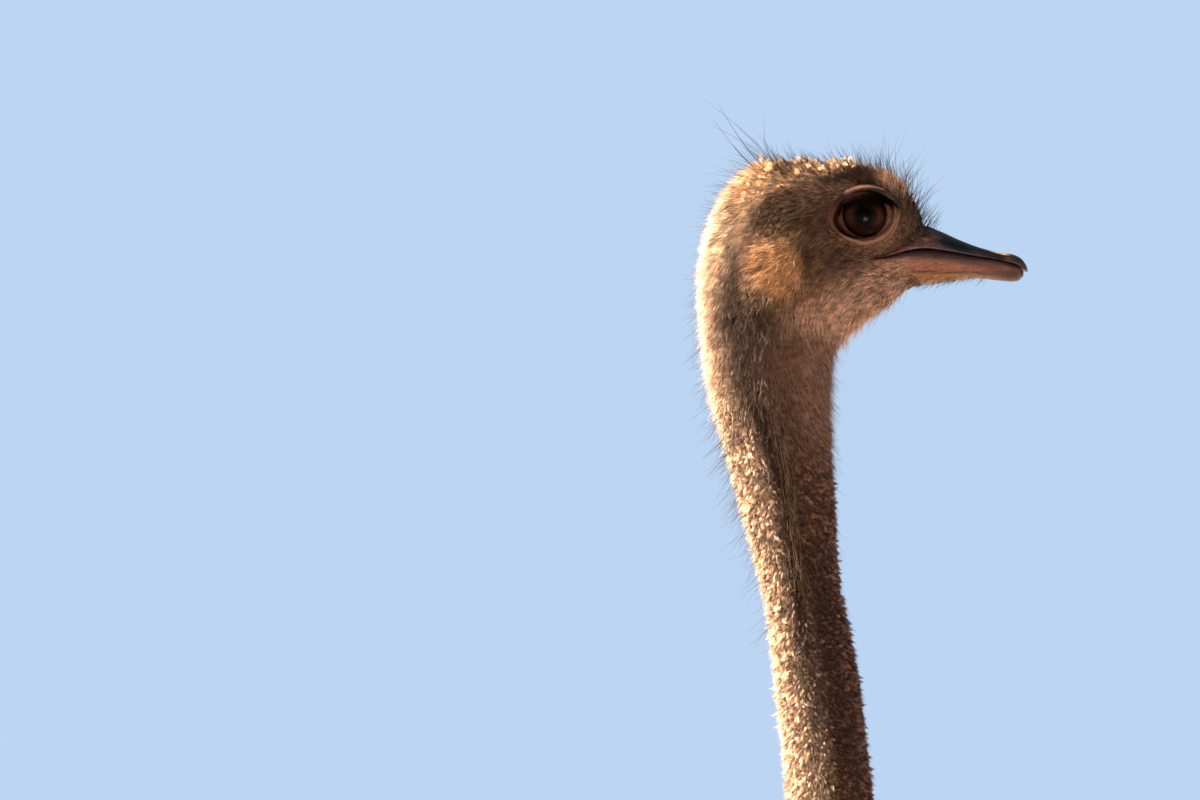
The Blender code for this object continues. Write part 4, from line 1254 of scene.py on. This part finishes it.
def grow(name, mesh, tuft, finish, slot="hen_down", **inputs):
    """A piece of the coat, grown on a bed by the node tree, made plain mesh and given to the bird."""
    thing = new_object(name, mesh)
    modifier = thing.modifiers.new("Coat", "NODES")
    modifier.node_group = GROW
    values = {"tuft": tuft, **USUAL, **inputs}
    for item in GROW.interface.items_tree:
        if item.in_out == "INPUT" and item.name in values:
            value = values[item.name]
            modifier[item.identifier] = value * MM if item.name in IN_MM else value
    mesh = applied(thing)
    for key in SPENT:
        if key in mesh.attributes:
            mesh.attributes.remove(mesh.attributes[key])
    mesh.name = name
    mesh.materials.clear()
    give(finished(name, mesh, finish), slot)


def feather_finish(name, gap, painted_shade_share, pale_tips_and_highlight, spread, mottle=0.25, roughness=0.62):
    """Keratin barbs in their stored colour, with painted shade at the root and between locks, paler at the
    tip, uneven from tuft to tuft.

    The colour given after the name is painted shade, laid at the roots and between locks by the first share;
    the second share makes the tips paler, partly their own colour and partly painted light that they catch.
    spread is the unevenness from tuft to tuft and mottle that from place to place, over streaks 3 to 6 mm
    long.
    """
    look = Finish(name, Roughness=roughness, IOR=1.54, Sheen_Weight=0.15, Sheen_Roughness=0.5,
                  Specular_IOR_Level=0.3)
    marking, along = look.given("marking", "Vector"), look.given("along")
    patchy = look.noise(look.vectors("MULTIPLY", look.position(), (0.45, 1.0, 1.0)), 330.0, 3.0)
    light = look.maths("MULTIPLY", look.ranged(look.given("tone"), 0.0, 1.0, 1 - spread, 1 + spread),
                       look.ranged(patchy, 0.36, 0.64, 1 - mottle, 1 + mottle))
    shown = look.scaled(marking, light)
    # Painted shade at the roots and between locks.
    for depth, low, high in ((along, 0.0, 0.5), (look.given("lock"), 0.38, 0.5)):
        dark = look.ranged(depth, low, high, painted_shade_share, 0.0, interpolation_type="SMOOTHSTEP")
        shown = look.blended(dark, shown, gap)
    paler = look.add("ShaderNodeGamma", {"Color": marking, "Gamma": 0.5}).outputs[0]
    look.feed("Base Color", look.blended(look.ranged(along, 0.5, 1.0, 0.0, pale_tips_and_highlight), shown, paler))
    return look


spike = template(tuft_mesh("spike", rings=0))
lock = template(tuft_mesh("lock", rings=1, taper=0.8, flat=0.6))
hair = template(tuft_mesh("hair", rings=4, taper=0.9, flat=1.0))
curl = template(curl_mesh("curl", blades=7, thick=0.23, reach=0.46, twist=1.7, seed=3))
small_curl = template(curl_mesh("small_curl", blades=4, thick=0.3, reach=0.44, twist=1.6, seed=5))
# Fine down: each barb is under 0.1 mm wide in life, and drawn 0.3 to 0.6 mm wide so that it shows.
face_down = feather_finish("face_down", "#150c08", painted_shade_share=0.7, pale_tips_and_highlight=0.3, spread=0.95, mottle=0.5)
woolly_down = feather_finish("woolly_down", "#2e1c12", painted_shade_share=0.8, pale_tips_and_highlight=0.5, spread=0.8, mottle=0.7)
nape_down = feather_finish("nape_down", "#6b4a35", painted_shade_share=0.45, pale_tips_and_highlight=0.5, spread=0.6, mottle=0.35)
ear_down = feather_finish("ear_down", "#2c1a0d", painted_shade_share=0.62, pale_tips_and_highlight=0.5, spread=0.85, mottle=0.4)
pale_hairs = feather_finish("pale_face_hairs", "#5b3f2e", painted_shade_share=0.2, pale_tips_and_highlight=1.0, spread=0.6)

# The share of woolly down: crown, occiput and nape. Its tufts grow broader away from its edge.
woolly = ramp(-5, 5, over_crown(X, Z)) * ramp(26, -4, X) + ramp(1.95, 1.1, TURN) * ramp(7.4, 9.8, AT)
woolly = np.clip(woolly, 0, 1)
# The flat down leaves the lids and the bill bare, and thins out under the wool, the ear's hairs and the brow.
off_lids = 0.42 + 0.22 * ramp(2, 12, Z) * ramp(-16, -4, X)
off_lids = np.where(SIDE > 8, ramp(off_lids - 0.12, off_lids + 0.12, lid_folds(X, Z)[2]), 1)
top, _, bottom, _ = bill_section(X)
in_bill = ramp(0, 4, X) * (Z < top - 1) * (Z > bottom + 2) * (bill_side(X, Z) > SIDE)
thinned = (1 - 0.6 * woolly) * (1 - 0.6 * bump(X, Z, (-59, -34), (17, 19)) * (SIDE > 15))
thinned = thinned * (1 - 0.8 * bump(X, Z, (27, -6), (15, 14)))
face_cover = thinned * off_lids * ramp(44, 38, X + 0.3 * (Z + 20)) * (1 - in_bill) * ramp(15.6, 12.6, AT)
face_reach = 3.2 + 4.2 * ramp(12, 34, np.hypot(X + 6, Z)) * ramp(30, -10, X) + 3.5 * ramp(-38, -66, Z)
face_reach = face_reach + 3.5 * bump(X, Z, (32, 3), (9, 9)) * ramp(17, 8, SIDE)
face_reach = 0.85 * face_reach * MM * (1 - 0.45 * ramp(16, 32, X))
for part, (low, high) in enumerate(((0.0, 7.2), (7.2, 16.0))):
    grow(f"down_face_{part}", bed(low, high, face_cover, face_reach), spike, face_down, part=11 + part,
         per_m2=2.15e6, width=0.52, rise=0.38, ruffle=0.35, lock_size=3.5, lumps=1.6, stray=0.28)
grow("hairs_face", bed(0.0, 16.0, face_cover * ramp(34, 20, X), 1.5 * face_reach), spike, pale_hairs, part=15,
     per_m2=3.0e5, width=0.5, rise=0.65, ruffle=0.5, lock_size=6, lumps=1.0, stray=0.35)
curly, fluffy = woolly * ramp(10.0, 7.6, AT), woolly * ramp(7.0, 9.0, AT) * ramp(14.6, 12.8, AT)
grow("down_crown", bed(2.0, 10.2, curly, coat_depth * 1.15, broad=0.5 + 0.5 * woolly), curl, woolly_down,
     part=21, per_m2=3.4e5, apart=1.75, width=2.7, rise=1.15, ruffle=0.8, lock_size=6, lumps=1.8, stray=0.6,
     curl=0.35)
grow("down_nape", bed(6.8, 14.8, fluffy, coat_depth * 1.5), spike, nape_down, part=22,
     per_m2=2.1e6, width=0.62, rise=0.75, ruffle=0.55, lock_size=4, lumps=1.4, stray=0.4)


def over_bill(upper):
    """A bed over the rear of one half of the bill, where the down runs forward over the root and the jaw."""
    back = bill_back(upper)
    back = back[back[:, 0, 0] < EYE_X + (51 if upper else 36) * MM]
    x, z = from_eye(back)[:2]
    out = unit(np.cross(unit(np.gradient(back, axis=0)), np.gradient(back, axis=1)))
    out = out * np.sign((out * (back - back.mean(axis=1, keepdims=True))).sum(axis=-1, keepdims=True))
    over = z - bill_section(x)[1]
    if upper:
        back, out = back[:, ::-1], out[:, ::-1]
        cover = ramp(50, 38, x - 0.25 * over) * ramp(3.6, 5.6, over)
    else:
        cover = ramp(10, -6, x - 13 + 1.1 * (over + 2)) * ramp(-1.6, -3.4, over)
    return ground(back, out, (-0.9, 0, -0.25), cover, 2.4 * MM)


for name, upper in (("upper", True), ("lower", False)):
    grow(f"down_bill_{name}", over_bill(upper), spike, face_down, part=31 + upper,
         per_m2=2.6e6, width=0.36, rise=0.3, stray=0.25)


# Ear tufts
# Stiff golden hairs that fan back and down from the front edge of the ear opening and hide it.

ear_cover = ramp(0.0, 0.25, 1 - ((X + 56) / 16) ** 2 - ((Z + 32) / 17.5) ** 2) * (SIDE > 15)
from_ear = unit(np.stack([X + 38, 0 * X, Z + 18], axis=-1))
ear_way = unit(from_ear + np.array((-0.75, 0, -0.45)))
for part, (tuft, width, per_m2, stray) in enumerate(((lock, 0.62, 1.6e6, 0.18), (hair, 0.36, 5.5e5, 0.32))):
    grow(f"ear_hairs_{part}", bed(5, 11.5, ear_cover, (8.5 + 3.0 * part) * MM, ear_way), tuft, ear_down,
         part=41 + part, per_m2=per_m2, width=width, rise=0.45 + 0.2 * part, ruffle=0.35, lock_size=3.5,
         lumps=1.3, stray=stray, curl=0.15, droop=0.05)


# Bristles, wisps and lashes
# Dark hair-like plumes stand out of the down: short ones over the crown and brow, a few long curved ones at
# the back of the crown, finer ones down the nape and under the jaw, and lashes along the upper lids.

def bristle_finish(name, shade, tip, roughness, shine):
    """Stiff keratin hairs 0.1 mm thick in life, drawn two to four times as thick so that they show."""
    look = Finish(name, Roughness=roughness, IOR=1.54, Specular_IOR_Level=shine)
    paler = look.maths("MULTIPLY", look.given("along"), look.given("tone"))
    look.feed("Base Color", look.blended(paler, shade, tip))
    return look


dark_bristle = bristle_finish("dark_bristle", "#17100d", "#3a2a20", roughness=0.55, shine=0.2)
pale_bristle = bristle_finish("pale_bristle", "#a3866c", "#dcc2a2", roughness=0.55, shine=0.2)
# The cream tufts' near-white tips are partly their own colour and partly painted light that shines through
# them.
cream_bristle = bristle_finish("cream_bristle", "#d39b74", "#fff0d8", roughness=0.7, shine=0.1)
lash_hair = bristle_finish("lash_hair", "#080504", "#0e0907", roughness=0.9, shine=0.0)


def standing(ahead, beside, up):
    """A way that leans ahead, away from the middle and up, over the whole grid."""
    return unit(np.stack([ahead + 0 * X, beside * SIGN, up + 0 * X], axis=-1))


# Brow bristles lean back over the crown and forward over the bill. The crest's wisps lean back and up.
brow = ramp(1.35, 0.75, TURN) * ramp(2, 14, X) * ramp(46, 38, X)
brow_reach = np.interp(X, (0, 12, 26, 40), (13, 18, 19, 12)) * MM
brow_way = standing(np.interp(X, (-10, 12, 30, 46), (-0.55, -0.15, 0.25, 0.6)), 0.12, 0.85)
tufts = ramp(1.25, 0.8, TURN) * ramp(6, 13, X) * ramp(37, 30, X) * ramp(7, 14, Z)
tufts_reach = np.interp(X, (4, 16, 28, 38), (8, 7.5, 5.5, 3.5)) * MM
crown = ramp(1.25, 0.7, TURN) * ramp(14, 4, X) * ramp(11.5, 9.5, AT)
crown_reach = (12.5 + 5.5 * ramp(-40, -60, X) * ramp(-96, -76, X)) * MM
crest = ramp(0.75, 0.4, TURN) * bump(X, Z, (-57, 36), (10, 12))
nape = ramp(1.0, 0.55, TURN) * ramp(8.2, 9.5, AT) * ramp(19.5, 14, AT)
nape_reach = (11 + 5 * ramp(11, 13, AT)) * MM
jaw = ramp(2.2, 2.7, TURN) * ramp(1.0, 2.5, AT) * ramp(20, 13, AT)
chin = bill_back(False)
ahead = (chin[:, 0, 0] - EYE_X) / MM
chin = chin[(ahead > 14) & (ahead < 78), 11:30]
chin = ground(chin, (0, 0, -1), (-0.75, 0, -0.45), 1.0, 5.5 * MM)
grow("bristles_brow", bed(0, 4.6, brow, brow_reach, brow_way), hair, dark_bristle, part=51,
     per_m2=1.1e5, width=0.28, rise=0.15, stray=0.3, curl=0.36, uneven=0.5)
grow("tufts_brow", bed(0, 4.6, tufts, tufts_reach), hair, cream_bristle, part=52,
     per_m2=4.5e5, width=0.34, rise=0.85, stray=0.35, curl=0.3, uneven=0.4, lumps=1.8)
grow("bristles_crown", bed(3.6, 11.6, crown, crown_reach), hair, dark_bristle, part=53,
     per_m2=1.3e5, width=0.24, rise=1.3, stray=0.35, curl=0.35, uneven=0.5)
grow("wisps_crest", bed(6, 10.5, crest, 32 * MM, standing(-0.9, 0.15, 0.75)), hair, dark_bristle, part=54,
     per_m2=3.8e4, width=0.42, rise=0.1, stray=0.24, curl=0.55, uneven=0.75)
grow("wisps_nape", bed(8, 20, nape, nape_reach), hair, dark_bristle, part=55,
     per_m2=1.1e5, width=0.22, rise=1.3, stray=0.45, curl=0.35, uneven=0.5)
grow("hairs_jaw", bed(1, 20.5, jaw, 11 * MM), hair, dark_bristle, part=56,
     per_m2=6.5e4, width=0.24, rise=0.5, stray=0.35, curl=0.3, uneven=0.5)
grow("hairs_bill", chin, hair, dark_bristle, part=57,
     per_m2=1.1e5, width=0.22, rise=0.1, stray=0.35, curl=0.2, uneven=0.6)


def lash_bed(sign):
    """A narrow bed along the edge of the upper lid, from behind the eye to its front corner."""
    angle = np.linspace(math.radians(28), math.radians(172), 40)
    strips = []
    for over in (0.0, 0.33, 0.66, 1.0):
        r = opening(angle) + 0.2 + over * upper_lid(angle)
        strips.append(lid_ring(r, on_ball(SOCKET_R + 2 * LID_EDGE, r, angle), angle, sign))
    fore = ramp(math.radians(100), math.radians(40), angle)
    ahead = 0.3 * np.cos(angle) + 0.45 + 0.3 * fore
    way = np.stack([ahead, 0 * angle + 0.42 * sign, -0.45 + 0.1 * fore], axis=-1)
    return ground(np.array(strips[::-sign]), (0, sign, 0.3), way, 1.0, (5.5 + 3.5 * fore) * MM)


for side, sign in SIDES:
    grow(f"lashes_{side}", lash_bed(sign), hair, lash_hair, part=61,
         per_m2=2.4e6, width=0.32, rise=0.0, stray=0.2, curl=0.05, droop=0.4)


# Down of the neck
# The neck is sparsely clad, so that each curl shows: woolly tufts 1 to 3 mm across, longer down the nape than
# in front, and a parting of longer pale hairs along each side below the ear.

neck_wool = feather_finish("neck_wool", "#2a1a12", painted_shade_share=0.7, pale_tips_and_highlight=0.45, spread=0.85, mottle=0.45)
behind = ramp(1.95, 1.1, TURN)
neck = behind * ramp(13.0, 13.8, AT) + (1 - behind) * ramp(11.6, 15.6, AT)
neck_reach = (4.6 + 1.0 * ramp(1.9, 1.0, TURN)) * MM
neck_broad = 0.55 + 0.45 * neck
for part, (low, high) in enumerate(((11.4, 15.6), (15.6, 18.0), (18.0, 20.6))):
    grow(f"down_neck_{part}", bed(low, high, neck, neck_reach, broad=neck_broad), small_curl, neck_wool,
         part=71 + part, per_m2=4.0e5, apart=1.66, width=2.25, rise=0.95, ruffle=0.8, lock_size=5, lumps=1.8,
         stray=0.5, curl=0.35)
# A haze of single barbs stands out of the wool and softens its edge.
haze = (0.35 + 0.65 * ramp(2.0, 1.2, TURN)) * np.maximum(woolly, AT > 13.4)
for part, (low, high) in enumerate(((6.5, 14.0), (14.0, 20.6))):
    grow(f"fuzz_neck_{part}", bed(low, high, haze, (8.6 - 2.0 * part) * MM), spike, neck_wool, part=75 + part,
         per_m2=4.6e5, width=0.3, rise=1.0, ruffle=0.5, stray=0.45)
parting = ridge(X - 1, parting_line(Z), 3.0) * ramp(-240, -215, Z) * ramp(-70, -95, Z) * (SIDE > 12)
grow("hairs_parting", bed(12.5, 18.2, parting, 15 * MM), hair, pale_bristle, part=77,
     per_m2=2.4e5, width=0.32, rise=0.32, stray=0.14, curl=0.1)
foot_reach = np.interp(AT, (20.5, 22, 24, 25.2), (5.8, 7, 14, 24)) * MM
grow("down_neck_lower", bed(20.5, 25.3, 1.0, foot_reach), lock, neck_wool, part=79,
     per_m2=4.6e4, width=2.9, rise=0.65, ruffle=0.5, lock_size=8, stray=0.3, curl=0.35)


# Body plumage
# Loose grey-brown feathers whose barbs don't hook together, so that each vane is soft and frayed. They
# overlap from the breast to the rump, and hang as long pale plumes from the folded wings and the tail.

SHAFT_R = 0.022                     # of a feather one unit long


def vane_mesh(name, barbs, root, swept, curve, full):
    """A feather one unit long and wide: a tapering shaft and free barbs, each a thin closed blade."""
    points, faces = [], []
    for h in np.linspace(0, 1, 5)[:-1]:
        r = SHAFT_R * (1.1 - h)
        points += [(r * math.cos(a), curve * h * h + SHAFT_R * math.sin(a), h) for a in (0.5, 2.6, 4.7)]
    points.append((0, curve, 1))
    faces.append((2, 1, 0))
    faces += ring_faces(4, 3).tolist()
    faces += [(9 + i, 9 + (i + 1) % 3, 12) for i in range(3)]
    for number in range(barbs):
        h = root + (0.98 - root) * (number + 0.5) / barbs
        wide = 0.5 * min(1, 0.35 + 1.7 * (h - root)) * (1 - 0.62 * max(0, h - 0.72) / 0.28)
        for side in (-1, 1):
            wave = (1 - 0.6 * full) * 0.12 * math.sin(2.4 * number + side)
            base = np.array((0, curve * h * h, h - 0.02))
            tip = (side * wide, curve * h * h - 0.1 * wide + wave, h + swept * (0.7 + wide) + 0.4 * wave)
            half = np.array((0, 0, full * (0.98 - root) / barbs)) * side / 2
            start = len(points)
            points += [tuple(base - half), tuple(base + half), tuple(base + (0, 0.02, 0)), tip]
            faces += [(start, start + 1, start + 2), (start, start + 3, start + 1),
                      (start + 1, start + 3, start + 2), (start + 2, start + 3, start)]
    return outward(new_mesh(name, points, faces), smooth=False)


feather = template(vane_mesh("feather", barbs=17, root=0.08, swept=0.24, curve=-0.14, full=0.85))
plume = template(vane_mesh("plume", barbs=60, root=0.06, swept=0.2, curve=-0.16, full=0.5))
body_plumage = feather_finish("grey_brown_plumage", "#3f362f", painted_shade_share=0.45, pale_tips_and_highlight=0.34, spread=0.22,
                              roughness=0.7)
pale_plumage = feather_finish("pale_plumage", "#5c5147", painted_shade_share=0.4, pale_tips_and_highlight=0.55, spread=0.18,
                              roughness=0.7)
trunk_reach = np.interp(AT, (24.4, 25.5, 27, 30, 32), (0.045, 0.062, 0.085, 0.095, 0.08))
hanging = unit(skin_along + np.array((0, 0, -0.25)))
for part, (low, high) in enumerate(((24.3, 27.3), (27.3, 32.0))):
    grow(f"feathers_body_{part}", bed(low, high, 1.0, trunk_reach, hanging), feather, body_plumage,
         "grey_brown_plumage", part=81 + part, per_m2=9000.0, apart=19.5, width=44, rise=0.4, ruffle=0.15,
         lock_size=50, stray=0.16, droop=0.12, curl=0.1)


def plume_strip(line, way, out, reach):
    """A narrow bed along a line of places, for hanging plumes."""
    line = through(np.array(line, float), np.linspace(0, len(line) - 1, 30))
    rise = np.linspace(-0.5, 0.5, 4)[:, None, None] * np.array((0, 0, 0.03))
    return ground(line[None] + rise, out, way, 1.0, reach, shade="#8a7f73")


for side, sign in SIDES:
    edge = [(0.13, sign * 0.184, 0.935), (0.0, sign * 0.192, 0.93), (-0.15, sign * 0.182, 0.935),
            (-0.29, sign * 0.15, 0.95)]
    strip = plume_strip(edge, (-0.45, sign * 0.04, -0.8), (-0.3, sign * 0.9, 0.3), 0.185)
    grow(f"plumes_wing_{side}", strip, plume, pale_plumage, "pale_plumes", part=86, per_m2=4600.0, width=62,
         rise=0.1, stray=0.14, curl=0.12, uneven=0.15)
edge = [(-0.375, -0.085, 0.985), (-0.4, -0.04, 1.045), (-0.4, 0.04, 1.045), (-0.375, 0.085, 0.985)]
fan = np.linspace(-1, 1, 30)
facing = unit(np.stack([0 * fan - 0.2, fan, 1.1 - np.abs(fan)], axis=1))
spread = np.stack([0 * fan - 0.8, 0.2 * fan, 0.12 - 0.1 * np.abs(fan)], axis=1)
strip = plume_strip(edge, spread, facing, 0.172)
grow("plumes_tail", strip, plume, pale_plumage, "pale_plumes", part=88, per_m2=12000.0, width=75, rise=0.05,
     stray=0.34, curl=0.15, droop=0.8, uneven=0.12)
for thing in (spike, lock, hair, curl, small_curl, feather, plume):
    bpy.data.objects.remove(thing)


# Floor, light and camera
# A plain pale floor and a pale cool surround, a broad warm key light from above and behind the nape, and one
# weak warm softbox low on the camera's side, as for a piece shown in a studio.

FLOOR_R = 14.0
SUN_WAY = (0.76, -0.20, -0.60)      # from behind the bird and a little from its left, down over it
SUN_WIDTH = math.radians(12)
BOX_AT, BOX_AIM = (0.0, -3.0, 0.45), (0.45, 0, 1.75)
CAMERA_AT, CAMERA_AIM = (0.33, -2.56, 1.69), (0.33, 0, 1.794)
LENS = 120.0                        # mm, over a sensor 36 mm wide

work = bmesh.new()
bmesh.ops.create_circle(work, cap_ends=True, segments=96, radius=FLOOR_R)
floor_mesh = bpy.data.meshes.new("floor")
work.to_mesh(floor_mesh)
work.free()
look = Finish("matt_pale_floor", Roughness=0.85)
look.feed("Base Color", look.blended(look.noise(look.position(), 3.0, 6.0), "#7c7c7e", "#838383"))
finished("floor", floor_mesh, look)

world = bpy.data.worlds.new("soft_surround")
world.use_nodes = True
look = Nodes(world.node_tree)
seen = look.add("ShaderNodeBackground", {"Color": "#bcd5f2", "Strength": 1.0}).outputs[0]
shining = look.add("ShaderNodeBackground", {"Color": "#c9d6e6", "Strength": 0.21}).outputs[0]
told = look.add("ShaderNodeLightPath").outputs["Is Camera Ray"]
both = look.add("ShaderNodeMixShader", {0: told, 1: shining, 2: seen}).outputs[0]
look.tree.links.new(both, look.tree.nodes["World Output"].inputs["Surface"])
look.tree.nodes.remove(look.tree.nodes["Background"])
bpy.context.scene.world = world


def aimed(name, data, at, way, **settings):
    """A light or camera that looks along a way, with its settings."""
    for key, value in settings.items():
        setattr(data, key, value)
    thing = new_object(name, data)
    thing.location = at
    thing.rotation_euler = Vector(way).to_track_quat("-Z", "Y").to_euler()
    return thing


aimed("key", bpy.data.lights.new("key", "SUN"), (0, 0, 0), SUN_WAY, energy=24.0, angle=SUN_WIDTH,
      color=linear("#ffe4c9"))
aimed("warm_fill", bpy.data.lights.new("warm_fill", "AREA"), BOX_AT, Vector(BOX_AIM) - Vector(BOX_AT),
      shape="DISK", size=0.9, spread=math.radians(50), energy=3.3, color=linear("#ffcba6"))
bpy.context.scene.camera = aimed("camera", bpy.data.cameras.new("camera"), CAMERA_AT,
                                 Vector(CAMERA_AIM) - Vector(CAMERA_AT), sensor_width=36, lens=LENS)
bpy.context.scene.view_settings.view_transform = "Standard"
